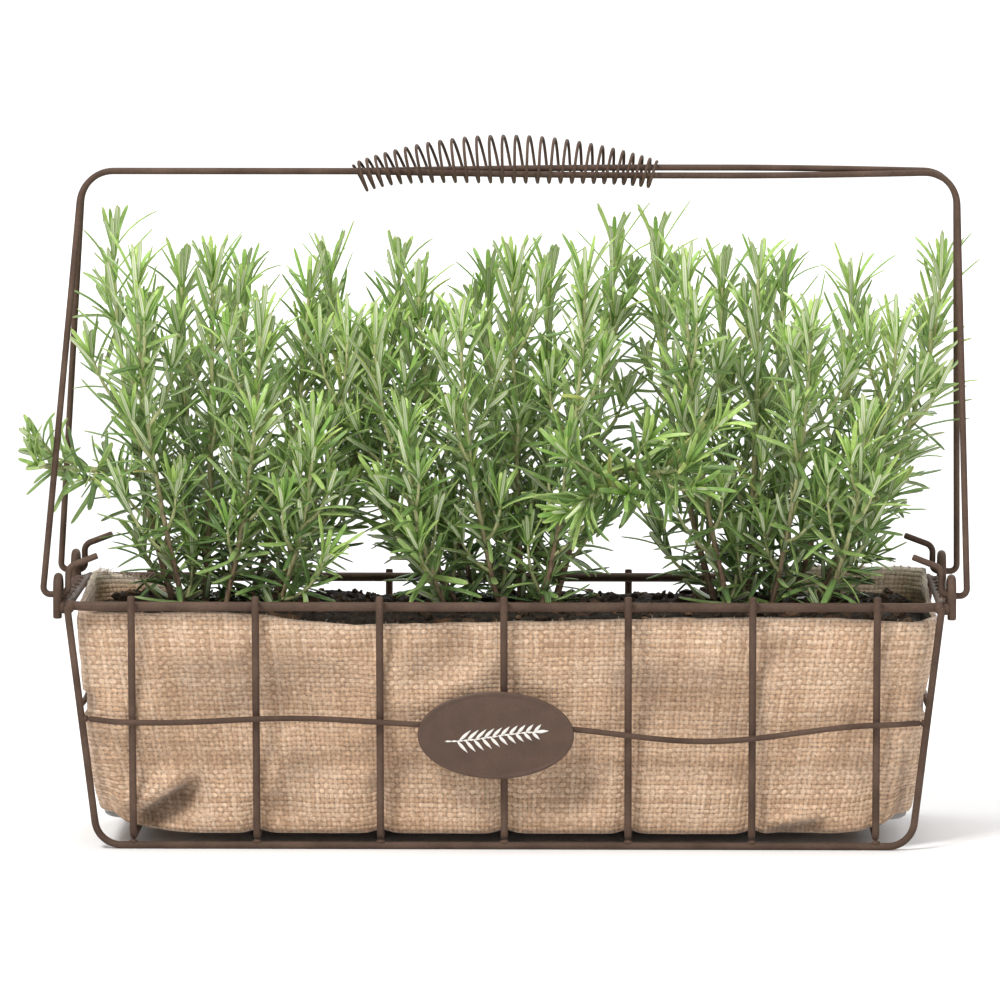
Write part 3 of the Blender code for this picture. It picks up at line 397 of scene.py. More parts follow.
def burlap_material():
    """A plain weave: each crossing has one thread on top, and threads vary in width and colour."""
    m = Nodes("burlap_weave")
    uv = m.node("ShaderNodeUVMap", uv_map="weave").outputs["UV"]
    drift = m.noise(uv, 75, 3, 0.6, out="Color")
    pull = m.node("ShaderNodeVectorMath", operation="MULTIPLY_ADD")
    m.link(drift, pull.inputs[0])
    pull.inputs[1].default_value = (0.0024, 0.0024, 0.0)
    m.link(uv, pull.inputs[2])
    split = m.node("ShaderNodeSeparateXYZ")
    m.link(pull.outputs[0], split.inputs[0])
    across = m.math("DIVIDE", split.outputs["X"], WARP_PITCH)
    along = m.math("DIVIDE", split.outputs["Y"], WEFT_PITCH)
    column = m.math("FLOOR", across)
    row = m.math("FLOOR", along)
    off_x = m.math("SUBTRACT", m.math("FRACT", across), 0.5)
    off_y = m.math("SUBTRACT", m.math("FRACT", along), 0.5)
    odd = m.math("MODULO", m.math("ABSOLUTE", m.math("ADD", column, row)), 2.0)
    side = m.math("MULTIPLY_ADD", odd, 2.0, -1.0)

    def per_thread(index, shift):
        place = m.node("ShaderNodeCombineXYZ")
        m.link(m.math("ADD", index, shift), place.inputs[0])
        made = m.node("ShaderNodeTexWhiteNoise", noise_dimensions="3D")
        m.link(place.outputs[0], made.inputs["Vector"])
        return made.outputs["Value"]

    def thread_top(own, other, sign, thickness, slack, height):
        """A thread's upper surface: round across, and rising over every other crossing."""
        crest = m.product(m.math("COSINE", m.product(other, math.pi)), sign)
        share = m.math("DIVIDE", own, m.math("MULTIPLY_ADD", thickness, 0.16, THREAD_SHARE - slack))
        round_top = m.math("SQRT", m.math("SUBTRACT", 1.0, m.product(share, share), clamped=True))
        missing = m.math("GREATER_THAN", m.math("ABSOLUTE", share), 1.0)
        top = m.sum(m.product(crest, 0.42), m.product(round_top, height))
        return m.math("SUBTRACT", top, m.product(missing, 0.9))

    slub = m.noise(uv, 260, 2, 0.6)
    warp_width = m.math("MULTIPLY_ADD", per_thread(column, 0.0), 0.6, m.product(slub, 0.5))
    weft_width = m.math("MULTIPLY_ADD", per_thread(row, 51.3), 0.6, m.product(slub, 0.5))
    warp = thread_top(off_x, off_y, side, warp_width, 0.08, 0.54)
    weft = thread_top(off_y, off_x, m.product(side, -1.0), weft_width, 0.04, 0.58)
    height = m.math("MAXIMUM", m.math("MAXIMUM", warp, weft), -0.45)
    warp_shows = m.math("GREATER_THAN", warp, weft)
    weft_shows = m.math("SUBTRACT", 1.0, warp_shows)
    shade = m.sum(
        m.product(per_thread(column, 7.7), warp_shows),
        m.product(per_thread(row, 517.3), weft_shows),
    )
    fibre = m.noise(uv, 2300, 2, 0.7)
    patch = m.noise(uv, 34, 4, 0.6)
    thread = m.ramp(
        m.sum(m.product(shade, 0.40), m.product(patch, 0.70)),
        (0.22, (0.465, 0.288, 0.172)),
        (0.52, (0.650, 0.432, 0.282)),
        (0.84, (0.820, 0.602, 0.432)),
    )
    thread = m.tinted(thread, m.ramp(fibre, (0.3, 0.80), (0.7, 1.08)))
    thread = m.blend(m.product(warp_shows, 0.16), thread, (0.430, 0.275, 0.172))
    thread = m.tinted(thread, m.ramp(m.noise(uv, 620, 2, 0.6), (0.30, 0.62), (0.68, 1.14)))
    # Painted shade: the cloth darkens where the weave sinks between threads, as if in their shadow
    painted_weave_shade = m.ramp(height, (0.0, 0.30), (0.26, 0.60), (0.58, 0.93), (0.92, 1.0))
    colour = m.tinted(thread, painted_weave_shade)
    # Painted shade: the cloth darkens with the hollow attribute, most deeply in the front folds
    colour = m.tinted(colour, m.ramp(m.attribute("hollow"), (0.0, 1.0), (0.5, 0.72), (1.0, 0.34)))
    # Bleached, teased-out fibre along a cut edge, and painted light lifting the shaded cloth of the rear
    # right flap
    fray_and_painted_light = m.attribute("fray_and_painted_light")
    colour = m.blend(m.product(fray_and_painted_light, 0.75), colour, (0.80, 0.70, 0.60))
    m.link(colour, m.shader.inputs["Base Color"])
    m.set(Roughness=0.92, Sheen_Weight=0.25, Sheen_Roughness=0.5, Specular_IOR_Level=0.2)
    fuzz = m.bump(fibre, 0.35, 0.00035)
    m.link(m.bump(height, 0.8, 0.0007, fuzz), m.shader.inputs["Normal"])
    return m.material


def fibre_material():
    m = Nodes("loose_jute_fibre")
    spots = m.noise(m.coords(), 400, 3)
    m.link(m.ramp(spots, (0.3, (0.62, 0.49, 0.36)), (0.7, (0.85, 0.78, 0.68))), m.shader.inputs["Base Color"])
    m.link(m.bump(spots, 0.4, 0.0003), m.shader.inputs["Normal"])
    m.set(Roughness=0.9, Sheen_Weight=0.3)
    return m.material


def film_material():
    m = Nodes("clear_liner_film")
    creases = m.noise(m.coords(), 140, 5, 0.7)
    colour = m.ramp(creases, (0.3, (0.14, 0.135, 0.13)), (0.7, (0.30, 0.29, 0.28)))
    m.link(colour, m.shader.inputs["Base Color"])
    m.link(m.ramp(creases, (0.3, 0.22), (0.7, 0.45)), m.shader.inputs["Roughness"])
    m.link(m.bump(creases, 0.6, 0.001), m.shader.inputs["Normal"])
    m.set(Alpha=0.92)
    return m.material


def soil_material():
    m = Nodes("crumbly_soil")
    where = m.coords()
    lumps = m.noise(where, 260, 6, 0.72)
    patch = m.noise(where, 38, 3)
    crumbs = m.cells(where, 420)
    dark = m.ramp(
        lumps,
        (0.34, (0.006, 0.005, 0.004)),
        (0.56, (0.026, 0.018, 0.012)),
        (0.76, (0.085, 0.058, 0.036)),
    )
    moss = m.ramp(patch, (0.60, 0.0), (0.74, 0.35))
    colour = m.blend(moss, dark, (0.060, 0.062, 0.026))
    rust = m.ramp(m.noise(where, 75, 2), (0.60, 0.0), (0.72, 0.55))
    colour = m.blend(rust, colour, (0.120, 0.052, 0.024))
    m.link(colour, m.shader.inputs["Base Color"])
    m.link(m.ramp(lumps, (0.3, 0.98), (0.8, 0.78)), m.shader.inputs["Roughness"])
    rough = m.bump(crumbs, 0.5, 0.0012)
    m.link(m.bump(lumps, 0.9, 0.0022, rough), m.shader.inputs["Normal"])
    m.set(Specular_IOR_Level=0.25)
    return m.material


def crumb_material():
    m = Nodes("bark_and_peat_crumbs")
    where = m.coords()
    grain = m.noise(where, 620, 4, 0.7)
    kind = m.attribute("tint")
    peat = m.ramp(grain, (0.3, (0.010, 0.007, 0.005)), (0.72, (0.060, 0.036, 0.022)))
    bark = m.ramp(grain, (0.3, (0.045, 0.024, 0.013)), (0.72, (0.170, 0.100, 0.056)))
    m.link(m.blend(m.ramp(kind, (0.66, 0.0), (0.84, 1.0)), peat, bark), m.shader.inputs["Base Color"])
    m.link(m.bump(grain, 0.8, 0.0008), m.shader.inputs["Normal"])
    m.set(Roughness=0.9, Specular_IOR_Level=0.25)
    return m.material


def leaf_material():
    """Needles: dark to fresh green above with a groove, pale and felted below."""
    m = Nodes("rosemary_leaf")
    split = m.node("ShaderNodeSeparateColor")
    m.link(m.attribute("leaf", "Color"), split.inputs[0])
    upper, length, tint = split.outputs[0], split.outputs[1], split.outputs[2]
    young = m.attribute("young")
    mottle = m.noise(m.coords(), 520, 3, 0.6)
    old_top = m.ramp(
        tint,
        (0.0, (0.066, 0.124, 0.038)),
        (0.5, (0.146, 0.246, 0.070)),
        (0.96, (0.300, 0.420, 0.140)),
        (1.0, (0.440, 0.400, 0.130)),
    )
    new_top = m.ramp(tint, (0.0, (0.215, 0.395, 0.080)), (1.0, (0.450, 0.620, 0.165)))
    top = m.blend(young, old_top, new_top)
    top = m.tinted(top, m.ramp(mottle, (0.3, 0.80), (0.7, 1.15)))
    old_below = m.ramp(tint, (0.0, (0.500, 0.575, 0.360)), (1.0, (0.840, 0.865, 0.650)))
    new_below = m.ramp(tint, (0.0, (0.620, 0.690, 0.410)), (1.0, (0.860, 0.890, 0.680)))
    below = m.blend(young, old_below, new_below)
    rib = m.ramp(m.attribute("midrib"), (0.35, 0.0), (0.8, 0.55))
    below = m.blend(rib, below, (0.260, 0.380, 0.130))
    top = m.blend(m.product(rib, 0.5), top, (0.270, 0.390, 0.130))
    colour = m.blend(m.ramp(upper, (0.34, 0.0), (0.50, 1.0)), below, top)
    tip = m.ramp(length, (0.90, 0.0), (1.0, 0.55))
    colour = m.blend(tip, colour, (0.300, 0.290, 0.090))
    m.link(colour, m.shader.inputs["Base Color"])
    m.link(m.ramp(upper, (0.42, 0.72), (0.58, 0.36)), m.shader.inputs["Roughness"])
    m.link(m.bump(mottle, 0.25, 0.0003), m.shader.inputs["Normal"])
    m.set(Specular_IOR_Level=0.42)
    return m.material


def stem_material():
    """Woody and brown at the foot, pale green near the tip."""
    m = Nodes("rosemary_stem")
    where = m.coords()
    age = m.attribute("young")
    bark = m.noise(m.scaled(where, (1.0, 1.0, 0.22)), 900, 4, 0.7)
    woody = m.ramp(
        bark,
        (0.32, (0.120, 0.070, 0.042)),
        (0.52, (0.260, 0.165, 0.105)),
        (0.72, (0.430, 0.310, 0.215)),
    )
    green = m.ramp(bark, (0.3, (0.300, 0.330, 0.120)), (0.7, (0.560, 0.560, 0.300)))
    m.link(m.blend(m.ramp(age, (0.22, 0.0), (0.56, 1.0)), woody, green), m.shader.inputs["Base Color"])
    m.link(m.bump(bark, 0.7, 0.0006), m.shader.inputs["Normal"])
    m.set(Roughness=0.72)
    return m.material


# Meshes


def mesh_object(name, points, faces, material, smooth_faces=True, sharp=None):
    mesh = bpy.data.meshes.new(name)
    mesh.from_pydata(np.asarray(points, float).reshape(-1, 3).tolist(), [], faces)
    mesh.materials.append(material)
    if smooth_faces:
        mesh.shade_smooth()
        if sharp:
            mesh.set_sharp_from_angle(angle=math.radians(sharp))
    made = bpy.data.objects.new(name, mesh)
    bpy.context.scene.collection.objects.link(made)
    return made


def point_values(piece, name, values):
    attribute = piece.data.attributes.new(name, "FLOAT", "POINT")
    attribute.data.foreach_set("value", np.asarray(values, np.float32).ravel())


def finish_piece(piece, slot, *nodes):
    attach(piece, "root")
    if nodes:
        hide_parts(*nodes)
    return piece


def frames_along(path, closed=False):
    """Directions along a path and a pair of steady directions across it."""
    path = np.asarray(path, float)
    if closed:
        along = np.roll(path, -1, 0) - np.roll(path, 1, 0)
    else:
        along = np.gradient(path, axis=0)
    along /= np.linalg.norm(along, axis=1)[:, None]
    start = np.array((0.0, 0.0, 1.0)) if abs(along[0][2]) < 0.9 else np.array((1.0, 0.0, 0.0))
    across = [start - along[0] * (start @ along[0])]
    across[0] /= np.linalg.norm(across[0])
    for direction in along[1:]:
        turned = across[-1] - direction * (across[-1] @ direction)
        across.append(turned / np.linalg.norm(turned))
    across = np.array(across)
    return along, across, np.cross(along, across)


def bands(rings, sides, start=0, closed=False):
    """Faces between each ring of points and the next."""
    faces = []
    for ring in range(rings if closed else rings - 1):
        low, high = start + ring * sides, start + (ring + 1) % rings * sides
        for side in range(sides):
            following = (side + 1) % sides
            faces.append((low + side, low + following, high + following, high + side))
    return faces


def capped(rings, sides, start=0):
    """The same with the first and last ring filled."""
    last = start + (rings - 1) * sides
    ends = [tuple(range(start + sides - 1, start - 1, -1)), tuple(range(last, last + sides))]
    return bands(rings, sides, start) + ends


def tube(path, radius, sides=14, closed=False):
    """Points and faces of a round wire. An open one has softly domed ends."""
    path = np.asarray(path, float).reshape(-1, 3)
    radii = np.broadcast_to(np.asarray(radius, float), len(path)).copy()
    if not closed:
        first = (path[0] - path[1]) / np.linalg.norm(path[0] - path[1])
        last = (path[-1] - path[-2]) / np.linalg.norm(path[-1] - path[-2])
        head = [path[0], path[0] - first * radii[0] * 0.12, path[0] - first * radii[0] * 0.4]
        tail = [path[-1] - last * radii[-1] * 0.4, path[-1] - last * radii[-1] * 0.12, path[-1]]
        ends = radii[0], radii[-1]
        path = np.vstack([head, path[1:-1], tail])
        radii = np.concatenate([
            [ends[0] * 0.72, ends[0] * 0.92, ends[0]],
            radii[1:-1],
            [ends[1], ends[1] * 0.92, ends[1] * 0.72],
        ])
    _, across, third = frames_along(path, closed)
    angles = np.arange(sides) * 2 * math.pi / sides
    ring = np.cos(angles)[None, :, None] * across[:, None] + np.sin(angles)[None, :, None] * third[:, None]
    points = (path[:, None] + ring * radii[:, None, None]).reshape(-1, 3)
    faces = bands(len(path), sides, closed=True) if closed else capped(len(path), sides)
    return points, faces


def joined(parts):
    """Several (points, faces) as one."""
    points, faces, start = [], [], 0
    for some_points, some_faces in parts:
        points.append(np.asarray(some_points, float).reshape(-1, 3))
        faces += [tuple(corner + start for corner in face) for face in some_faces]
        start += len(points[-1])
    return np.vstack(points), faces


def filleted(corners, radii, steps):
    path = [Vector(corners[0])]
    for before, corner, after, radius in zip(corners, corners[1:], corners[2:], radii):
        corner = Vector(corner)
        back = (Vector(before) - corner).normalized()
        ahead = (Vector(after) - corner).normalized()
        half = back.angle(ahead) / 2
        run = radius / math.tan(half)
        centre = corner + (back + ahead).normalized() * radius / math.sin(half)
        start = corner + back * run - centre
        turn = start.rotation_difference(corner + ahead * run - centre)
        for step in range(steps + 1):
            part = Matrix.Rotation(turn.angle * step / steps, 3, turn.axis)
            path.append(centre + part @ start)
    path.append(Vector(corners[-1]))
    return path


def subdivided(path, longest):
    """The same path with no run longer than given."""
    fine = [Vector(path[0])]
    for before, after in zip(path, path[1:]):
        steps = max(1, math.ceil((after - before).length / longest))
        fine += [before.lerp(after, step / steps) for step in range(1, steps + 1)]
    return fine


def rounded_rectangle(half_x, half_y, radius, corner_steps, longest):
    corners = []
    for turn in range(4):
        sign_x = 1 if turn in (0, 3) else -1
        sign_y = 1 if turn in (0, 1) else -1
        centre = Vector((sign_x * (half_x - radius), sign_y * (half_y - radius)))
        for step in range(corner_steps + 1):
            angle = math.pi / 2 * (turn + step / corner_steps)
            corners.append(centre + radius * Vector((math.cos(angle), math.sin(angle))))
    outline = []
    for before, after in zip(corners, corners[1:] + corners[:1]):
        steps = max(1, math.ceil((after - before).length / longest))
        outline += [before.lerp(after, step / steps) for step in range(steps)]
    return outline


# Basket wires


def rib_y(height):
    share = (height - RIB_FOOT_Z) / (RIM_HEIGHT - RIB_FOOT_Z)
    return mix(BASE_DEPTH / 2 + GAP, RIB_TOP_Y, share)


def corner_leg_top():
    reach = RIM_CORNER_RADIUS + RIM_WIRE / 2 + GAP * 2 + FRAME_WIRE / 2
    return (
        RIM_END_X - RIM_CORNER_RADIUS + reach * math.sin(FRAME_TOP_ANGLE),
        RIM_FRONT_Y - RIM_CORNER_RADIUS + reach * math.cos(FRAME_TOP_ANGLE),
    )


def leg_place(height):
    top_x, top_y = corner_leg_top()
    share = (height - FRAME_WIRE / 2) / (RIM_HEIGHT - FRAME_WIRE / 2)
    return mix(BASE_LENGTH / 2, top_x, share), mix(BASE_DEPTH / 2, top_y, share)


def wave(place):
    return MIDDLE_WAVE_HEIGHT / 2 * math.sin(2 * math.pi * place / MIDDLE_WAVE_LENGTH)


def middle_z(x):
    drop = MIDDLE_DROP * math.exp(-(((x - MIDDLE_DROP_X) / MIDDLE_DROP_WIDTH) ** 2))
    return MIDDLE_HEIGHT_FRONT + wave(x) - drop


def add_wire(name, path, diameter, material, sides=14, closed=False):
    points, faces = tube(path, diameter / 2, sides, closed)
    made = mesh_object(name, points, faces, material, sharp=60)
    return finish_piece(made, "basket_wire", name[: -len("_look")])


def make_basket(material):
    outline = rounded_rectangle(RIM_END_X, RIM_FRONT_Y, RIM_CORNER_RADIUS, 10, 0.004)
    rim = [Vector((p.x, p.y, RIM_HEIGHT)) for p in outline]
    add_wire("rim_wire_look", rim, RIM_WIRE, material, 18, closed=True)
    top_x, top_y = corner_leg_top()
    for name, side in (("front", -1), ("rear", 1)):
        base_y = side * BASE_DEPTH / 2
        corners = (
            (-top_x, side * top_y, RIM_HEIGHT),
            (-BASE_LENGTH / 2, base_y, FRAME_WIRE / 2),
            (BASE_LENGTH / 2, base_y, FRAME_WIRE / 2),
            (top_x, side * top_y, RIM_HEIGHT),
        )
        path = subdivided(filleted(corners, (FRAME_CORNER_RADIUS,) * 2, 14), 0.006)
        add_wire(f"{name}_frame_wire_look", path, FRAME_WIRE, material)
    for index in range(RIB_COUNT):
        x = (index - (RIB_COUNT - 1) / 2) * RIB_PITCH
        front_top = RIM_HEIGHT + RIB_RISE_FRONT
        rear_top = RIM_HEIGHT + RIB_RISE_REAR
        corners = (
            (x, -rib_y(front_top), front_top),
            (x, -rib_y(RIB_FOOT_Z), RIB_FOOT_Z),
            (x, rib_y(RIB_FOOT_Z), RIB_FOOT_Z),
            (x, rib_y(rear_top), rear_top),
        )
        path = subdivided(filleted(corners, (RIB_BEND_RADIUS,) * 2, 10), 0.005)
        add_wire(f"rib_wire_{index + 1}_look", path, RIB_WIRE, material)
    make_middle_wires(material)
    for name, side in (("left", -1), ("right", 1)):
        make_eye_bracket(name, side, material)


def make_middle_wires(material):
    leg_x, leg_y = leg_place(MIDDLE_HEIGHT_FRONT)
    end_x = leg_x - (FRAME_WIRE + MIDDLE_WIRE) / 2 - GAP
    step_in = (RIB_COUNT - 1) / 2 * RIB_PITCH + 2 * RIB_WIRE
    for name, side in (("front", -1), ("rear", 1)):
        path = []
        for index in range(97):
            x = mix(-end_x, end_x, index / 96)
            z = middle_z(x)
            outer = rib_y(z) + RIB_REACH + MIDDLE_WIRE / 2 + GAP
            share = smooth(max(abs(x) - step_in, 0.0) / (end_x - step_in))
            path.append(Vector((x, side * mix(outer, leg_y, share), z)))
        add_wire(f"{name}_middle_wire_look", path, MIDDLE_WIRE, material)
    leg_x, leg_y = leg_place(MIDDLE_HEIGHT_SIDE)
    end_y = leg_y - (FRAME_WIRE + MIDDLE_WIRE) / 2 - GAP
    for name, side in (("left", -1), ("right", 1)):
        path = []
        for index in range(33):
            y = mix(-end_y, end_y, index / 32)
            path.append(Vector((side * leg_x, y, MIDDLE_HEIGHT_SIDE + wave(y))))
        add_wire(f"{name}_middle_wire_look", path, MIDDLE_WIRE, material)


def make_eye_bracket(name, side, material):
    x = side * EYE_X
    outer = EYE_SPACING / 2 + EYE_WIDTH / 2
    inner = EYE_SPACING / 2 - EYE_WIDTH / 2
    foot = RIM_HEIGHT - EYE_FOOT_DROP
    top = RIM_HEIGHT + EYE_RISE
    corners = (
        (x, -outer, foot), (x, -outer, top), (x, -inner, top), (x, -inner, RIM_HEIGHT),
        (x, inner, RIM_HEIGHT), (x, inner, top), (x, outer, top), (x, outer, foot),
    )
    arch = EYE_WIDTH / 2 * EYE_ARCH_SHARE
    path = filleted(corners, (arch, arch, EYE_WIRE, EYE_WIRE, arch, arch), 9)
    add_wire(f"{name}_eye_bracket_look", subdivided(path, 0.003), EYE_WIRE, material, 16)


def bead(centre, size, seed, rings=7, sides=12):
    """A small lump of weld, wider than it is high, with an uneven skin."""
    points, faces = [(0, 0, 1)], []
    for ring in range(1, rings):
        polar = math.pi * ring / rings
        for side in range(sides):
            angle = 2 * math.pi * side / sides
            around = math.sin(polar)
            points.append((around * math.cos(angle), around * math.sin(angle), math.cos(polar)))
    points.append((0, 0, -1))
    for side in range(sides):
        following = (side + 1) % sides
        faces.append((0, 1 + side, 1 + following))
        for ring in range(rings - 2):
            low, high = 1 + ring * sides, 1 + (ring + 1) * sides
            faces.append((low + side, high + side, high + following, low + following))
        last = 1 + (rings - 2) * sides
        faces.append((last + side, len(points) - 1, last + following))
    made = []
    for point in points:
        lump = 1 + 0.18 * noise.noise(Vector(point) * 1.9 + Vector((seed * 3.1, 0, 0)))
        made.append([centre[axis] + point[axis] * size[axis] * lump for axis in range(3)])
    return made, faces


def make_welds(material):
    parts = []
    seed = 0
    for side in (-1, 1):
        for index in range(RIB_COUNT):
            x = (index - (RIB_COUNT - 1) / 2) * RIB_PITCH
            joint_y = RIM_FRONT_Y + RIM_WIRE / 2
            parts.append(bead((x, side * joint_y, RIM_HEIGHT - 0.0006), (0.0021, 0.0013, 0.0019), seed))
            parts.append(bead((x, side * BASE_DEPTH / 2, FRAME_WIRE), (0.0021, 0.0018, 0.0011), seed + 1))
            z = middle_z(x)
            parts.append(bead((x, side * (rib_y(z) + RIB_REACH), z), (0.0015, 0.0009, 0.0015), seed + 2))
            seed += 3
        for end in (-1, 1):
            for height in (MIDDLE_HEIGHT_FRONT, MIDDLE_HEIGHT_SIDE):
                leg_x, leg_y = leg_place(height)
                inwards = 0.0016
                if height == MIDDLE_HEIGHT_FRONT:
                    centre = (end * (leg_x - inwards), side * leg_y, middle_z(end * leg_x))
                else:
                    centre = (end * leg_x, side * (leg_y - inwards), height)
                parts.append(bead(centre, (0.0016, 0.0016, 0.0016), seed))
                seed += 1
            top_x, top_y = corner_leg_top()
            spot = (end * (top_x - 0.0012), side * (top_y - 0.0012), RIM_HEIGHT - 0.0005)
            parts.append(bead(spot, (0.0022, 0.0022, 0.0026), seed))
            for step in range(WELD_STEPS):
                y = side * (EYE_SPACING / 2 - EYE_WIDTH / 2 - 0.003 - step * 0.0046)
                centre = (end * (RIM_END_X + RIM_WIRE / 2 - 0.0004), y, RIM_HEIGHT + 0.0006 * (step % 3))
                parts.append(bead(centre, (0.0026, 0.0030, 0.0024), seed + step))
            for edge in (-1, 1):
                y = side * (EYE_SPACING / 2 + edge * EYE_WIDTH / 2)
                centre = (end * (RIM_END_X + RIM_WIRE / 2), y, RIM_HEIGHT - 0.0012)
                parts.append(bead(centre, (0.0018, 0.0024, 0.0026), seed + 7))
            seed += WELD_STEPS
    points, faces = joined(parts)
    finish_piece(mesh_object("weld_beads", points, faces, material), "basket_wire")


# Handle


def bail_y(side, height):
    share = clamp((height - BAIL_EYE_Z) / (BAIL_HEIGHT - BAIL_EYE_Z))
    return side * mix(EYE_SPACING / 2, BAIL_PAIR_OFFSET, share)


def bail_path(side, arc_steps, longest):
    hook_z = BAIL_EYE_Z + HOOK_RISE
    outline = (
        (-BAIL_INNER_X + HOOK_REACH, hook_z + HOOK_TIP_RISE),
        (-BAIL_INNER_X, hook_z),
        (-BAIL_INNER_X, BAIL_EYE_Z),
        (-BAIL_FOOT_X, BAIL_EYE_Z),
        (-BAIL_FOOT_X + BAIL_INSET_LEFT, BAIL_HEIGHT),
        (BAIL_FOOT_X - BAIL_INSET_RIGHT, BAIL_HEIGHT),
        (BAIL_FOOT_X, BAIL_EYE_Z),
        (BAIL_INNER_X, BAIL_EYE_Z),
        (BAIL_INNER_X, hook_z),
        (BAIL_INNER_X - HOOK_REACH, hook_z + HOOK_TIP_RISE),
    )
    hook = (HOOK_RADIUS, HOOK_FOOT_RADIUS, HOOK_FOOT_RADIUS)
    radii = (*hook, BAIL_CORNER_RADIUS, BAIL_CORNER_RADIUS, *reversed(hook))
    path = subdivided(filleted([(x, 0.0, z) for x, z in outline], radii, arc_steps), longest)
    for point in path:
        point.y = bail_y(side, point.z)
        if point.z > BAIL_HEIGHT - BAIL_WIRE:
            reach = clamp(point.x / GRIP_LENGTH + 0.5)
            fade = clamp((BAIL_FOOT_X - point.x) / (BAIL_FOOT_X / 2))
            turn = BAIL_TWIST * reach * fade
            point.y = side * BAIL_PAIR_OFFSET * math.cos(turn)
            point.z += side * BAIL_PAIR_OFFSET * math.sin(turn)
    return path


def grip_ring(share):
    bulge = max(math.sin(math.pi * share), 0.0) ** GRIP_RISE_EASE
    settle = 1 - abs(2 * share - 1) ** GRIP_DROP_EASE
    end_over = mix(GRIP_LEFT_SLACK_OVER, GRIP_RIGHT_SLACK_OVER, share)
    end_under = mix(GRIP_LEFT_SLACK_UNDER, GRIP_RIGHT_SLACK_UNDER, share)
    top = BAIL_HEIGHT + 2 * BAIL_REACH + mix(end_over, GRIP_MIDDLE_SLACK_OVER, bulge)
    bottom = BAIL_HEIGHT - 2 * BAIL_REACH - mix(end_under, GRIP_MIDDLE_SLACK_UNDER, settle)
    tilt = mix(GRIP_TILT_LEFT, GRIP_TILT_RIGHT, share)
    return (top + bottom) / 2, (top - bottom) / 2 - GRIP_WIRE / 2, tilt


def grip_path(steps_each):
    steps = GRIP_TURNS * steps_each
    pitches = []
    for step in range(steps):
        openness = math.sin(math.pi * (step + 0.5) / steps) ** GRIP_PITCH_EASE
        pitches.append(mix(GRIP_END_PITCH_SHARE, 1.0, openness))
    total = sum(pitches)
    path, run = [], 0.0
    for step in range(steps + 1):
        share = run / total
        run += pitches[step] if step < steps else 0.0
        middle, radius, tilt = grip_ring(share)
        angle = 2 * math.pi * step / steps_each + math.pi / 8
        rise = radius * math.cos(angle)
        x = (share - 0.5) * GRIP_LENGTH + rise * math.sin(tilt)
        path.append(Vector((x, radius * math.sin(angle), middle + rise * math.cos(tilt))))
    return path


def make_handle(material):
    for name, side in (("front", -1), ("rear", 1)):
        path = bail_path(side, 12, 0.005)
        add_wire(f"{name}_bail_look", path, BAIL_WIRE, material, 16)
    add_wire("grip_coil_look", grip_path(30), GRIP_WIRE, material, 8)


# Plate


def plate_matrix():
    """Where the middle of the plate's back is, from its solid's box, and how it leans."""
    low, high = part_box("label_plate")
    tilt = math.atan2(RIB_TOP_Y - BASE_DEPTH / 2, RIM_HEIGHT - RIB_FOOT_Z)
    centre = (low + high) / 2
    return Matrix.Translation(centre) @ Matrix.Rotation(tilt, 4, "X")


def make_plate(paint, cream):
    half_x, half_z = PLATE_LENGTH / 2, PLATE_HEIGHT / 2
    # Each ring: how far in from the edge, and how far the surface stands to the front
    rings = (
        (0.0040, -0.00072), (0.0008, -0.00072), (0.0002, -0.00050), (0.0, -0.0001), (0.0001, 0.00040),
        (0.0005, 0.00068), (0.0010, 0.00074), (0.0015, 0.00060), (0.0020, 0.00030), (0.0028, 0.00020),
        (0.0060, 0.00026), (0.0110, 0.00030), (0.0170, 0.00032),
    )
    count = 120
    points = []
    for inset, depth in rings:
        for step in range(count):
            angle = 2 * math.pi * step / count
            wobble = 0.00003 * math.sin(5 * angle) if depth > 0.0005 else 0.0
            x = (half_x - inset) * math.cos(angle)
            z = (half_z - inset) * math.sin(angle)
            points.append((x, -depth - wobble, z))
    faces = bands(len(rings), count)
    faces.append(tuple(range(count)))
    faces.append(tuple(reversed(range((len(rings) - 1) * count, len(rings) * count))))
    plate = mesh_object("label_plate_look", points, faces, paint, sharp=60)
    plate.data.transform(plate_matrix())
    finish_piece(plate, "label_plate", "label_plate")
    make_motif(cream)


def petal(start, end, width, front, steps=8):
    """A slim raised leaf on the plate's face, from start to end."""
    start, end = Vector(start), Vector(end)
    along = (end - start).normalized()
    across = Vector((-along.y, along.x))
    points = []
    for step in range(steps + 1):
        share = step / steps
        half = width / 2 * max(math.sin(math.pi * share ** 0.8), 0.06)
        middle = start.lerp(end, share)
        for offset, height in ((-half, 0.0), (-half * 0.7, front), (half * 0.7, front), (half, 0.0)):
            spot = middle + across * offset
            points.append((spot.x, -height, spot.y))
    return points, capped(steps + 1, 4)


def make_motif(cream):
    """A small printed sprig, raised like thick paint."""

    def bend(x):
        return 0.0022 * math.sin(x / -MOTIF_TAIL_X * math.pi * 0.5)

    parts = []
    xs = [mix(MOTIF_TAIL_X, 0.0200, step / 16) for step in range(17)]
    for first, second in zip(xs, xs[1:]):
        start, end = (first - 0.0004, bend(first)), (second + 0.0004, bend(second))
        parts.append(petal(start, end, 0.0010, MOTIF_RISE * 0.8, 3))
    for index in range(10):
        x = mix(-0.0165, 0.0170, index / 9)
        length = mix(0.0072, 0.0048, index / 9)
        for side in (-1, 1):
            shift = 0.0009 if side > 0 else 0.0
            angle = math.radians(46) * side + bend(x) * 20
            start = (x + shift, bend(x + shift))
            end = (start[0] + length * math.cos(angle), start[1] + length * math.sin(angle))
            parts.append(petal(start, end, 0.0016, MOTIF_RISE))
    parts.append(petal((0.0185, bend(0.0185)), (0.0245, bend(0.0245) + 0.0006), 0.0017, MOTIF_RISE))
    points, faces = joined(parts)
    motif = mesh_object("plate_motif", points, faces, cream)
    motif.data.transform(plate_matrix() @ Matrix.Translation((-0.0008, -0.00022, -0.0006)))
    finish_piece(motif, "label_plate")


# Liners


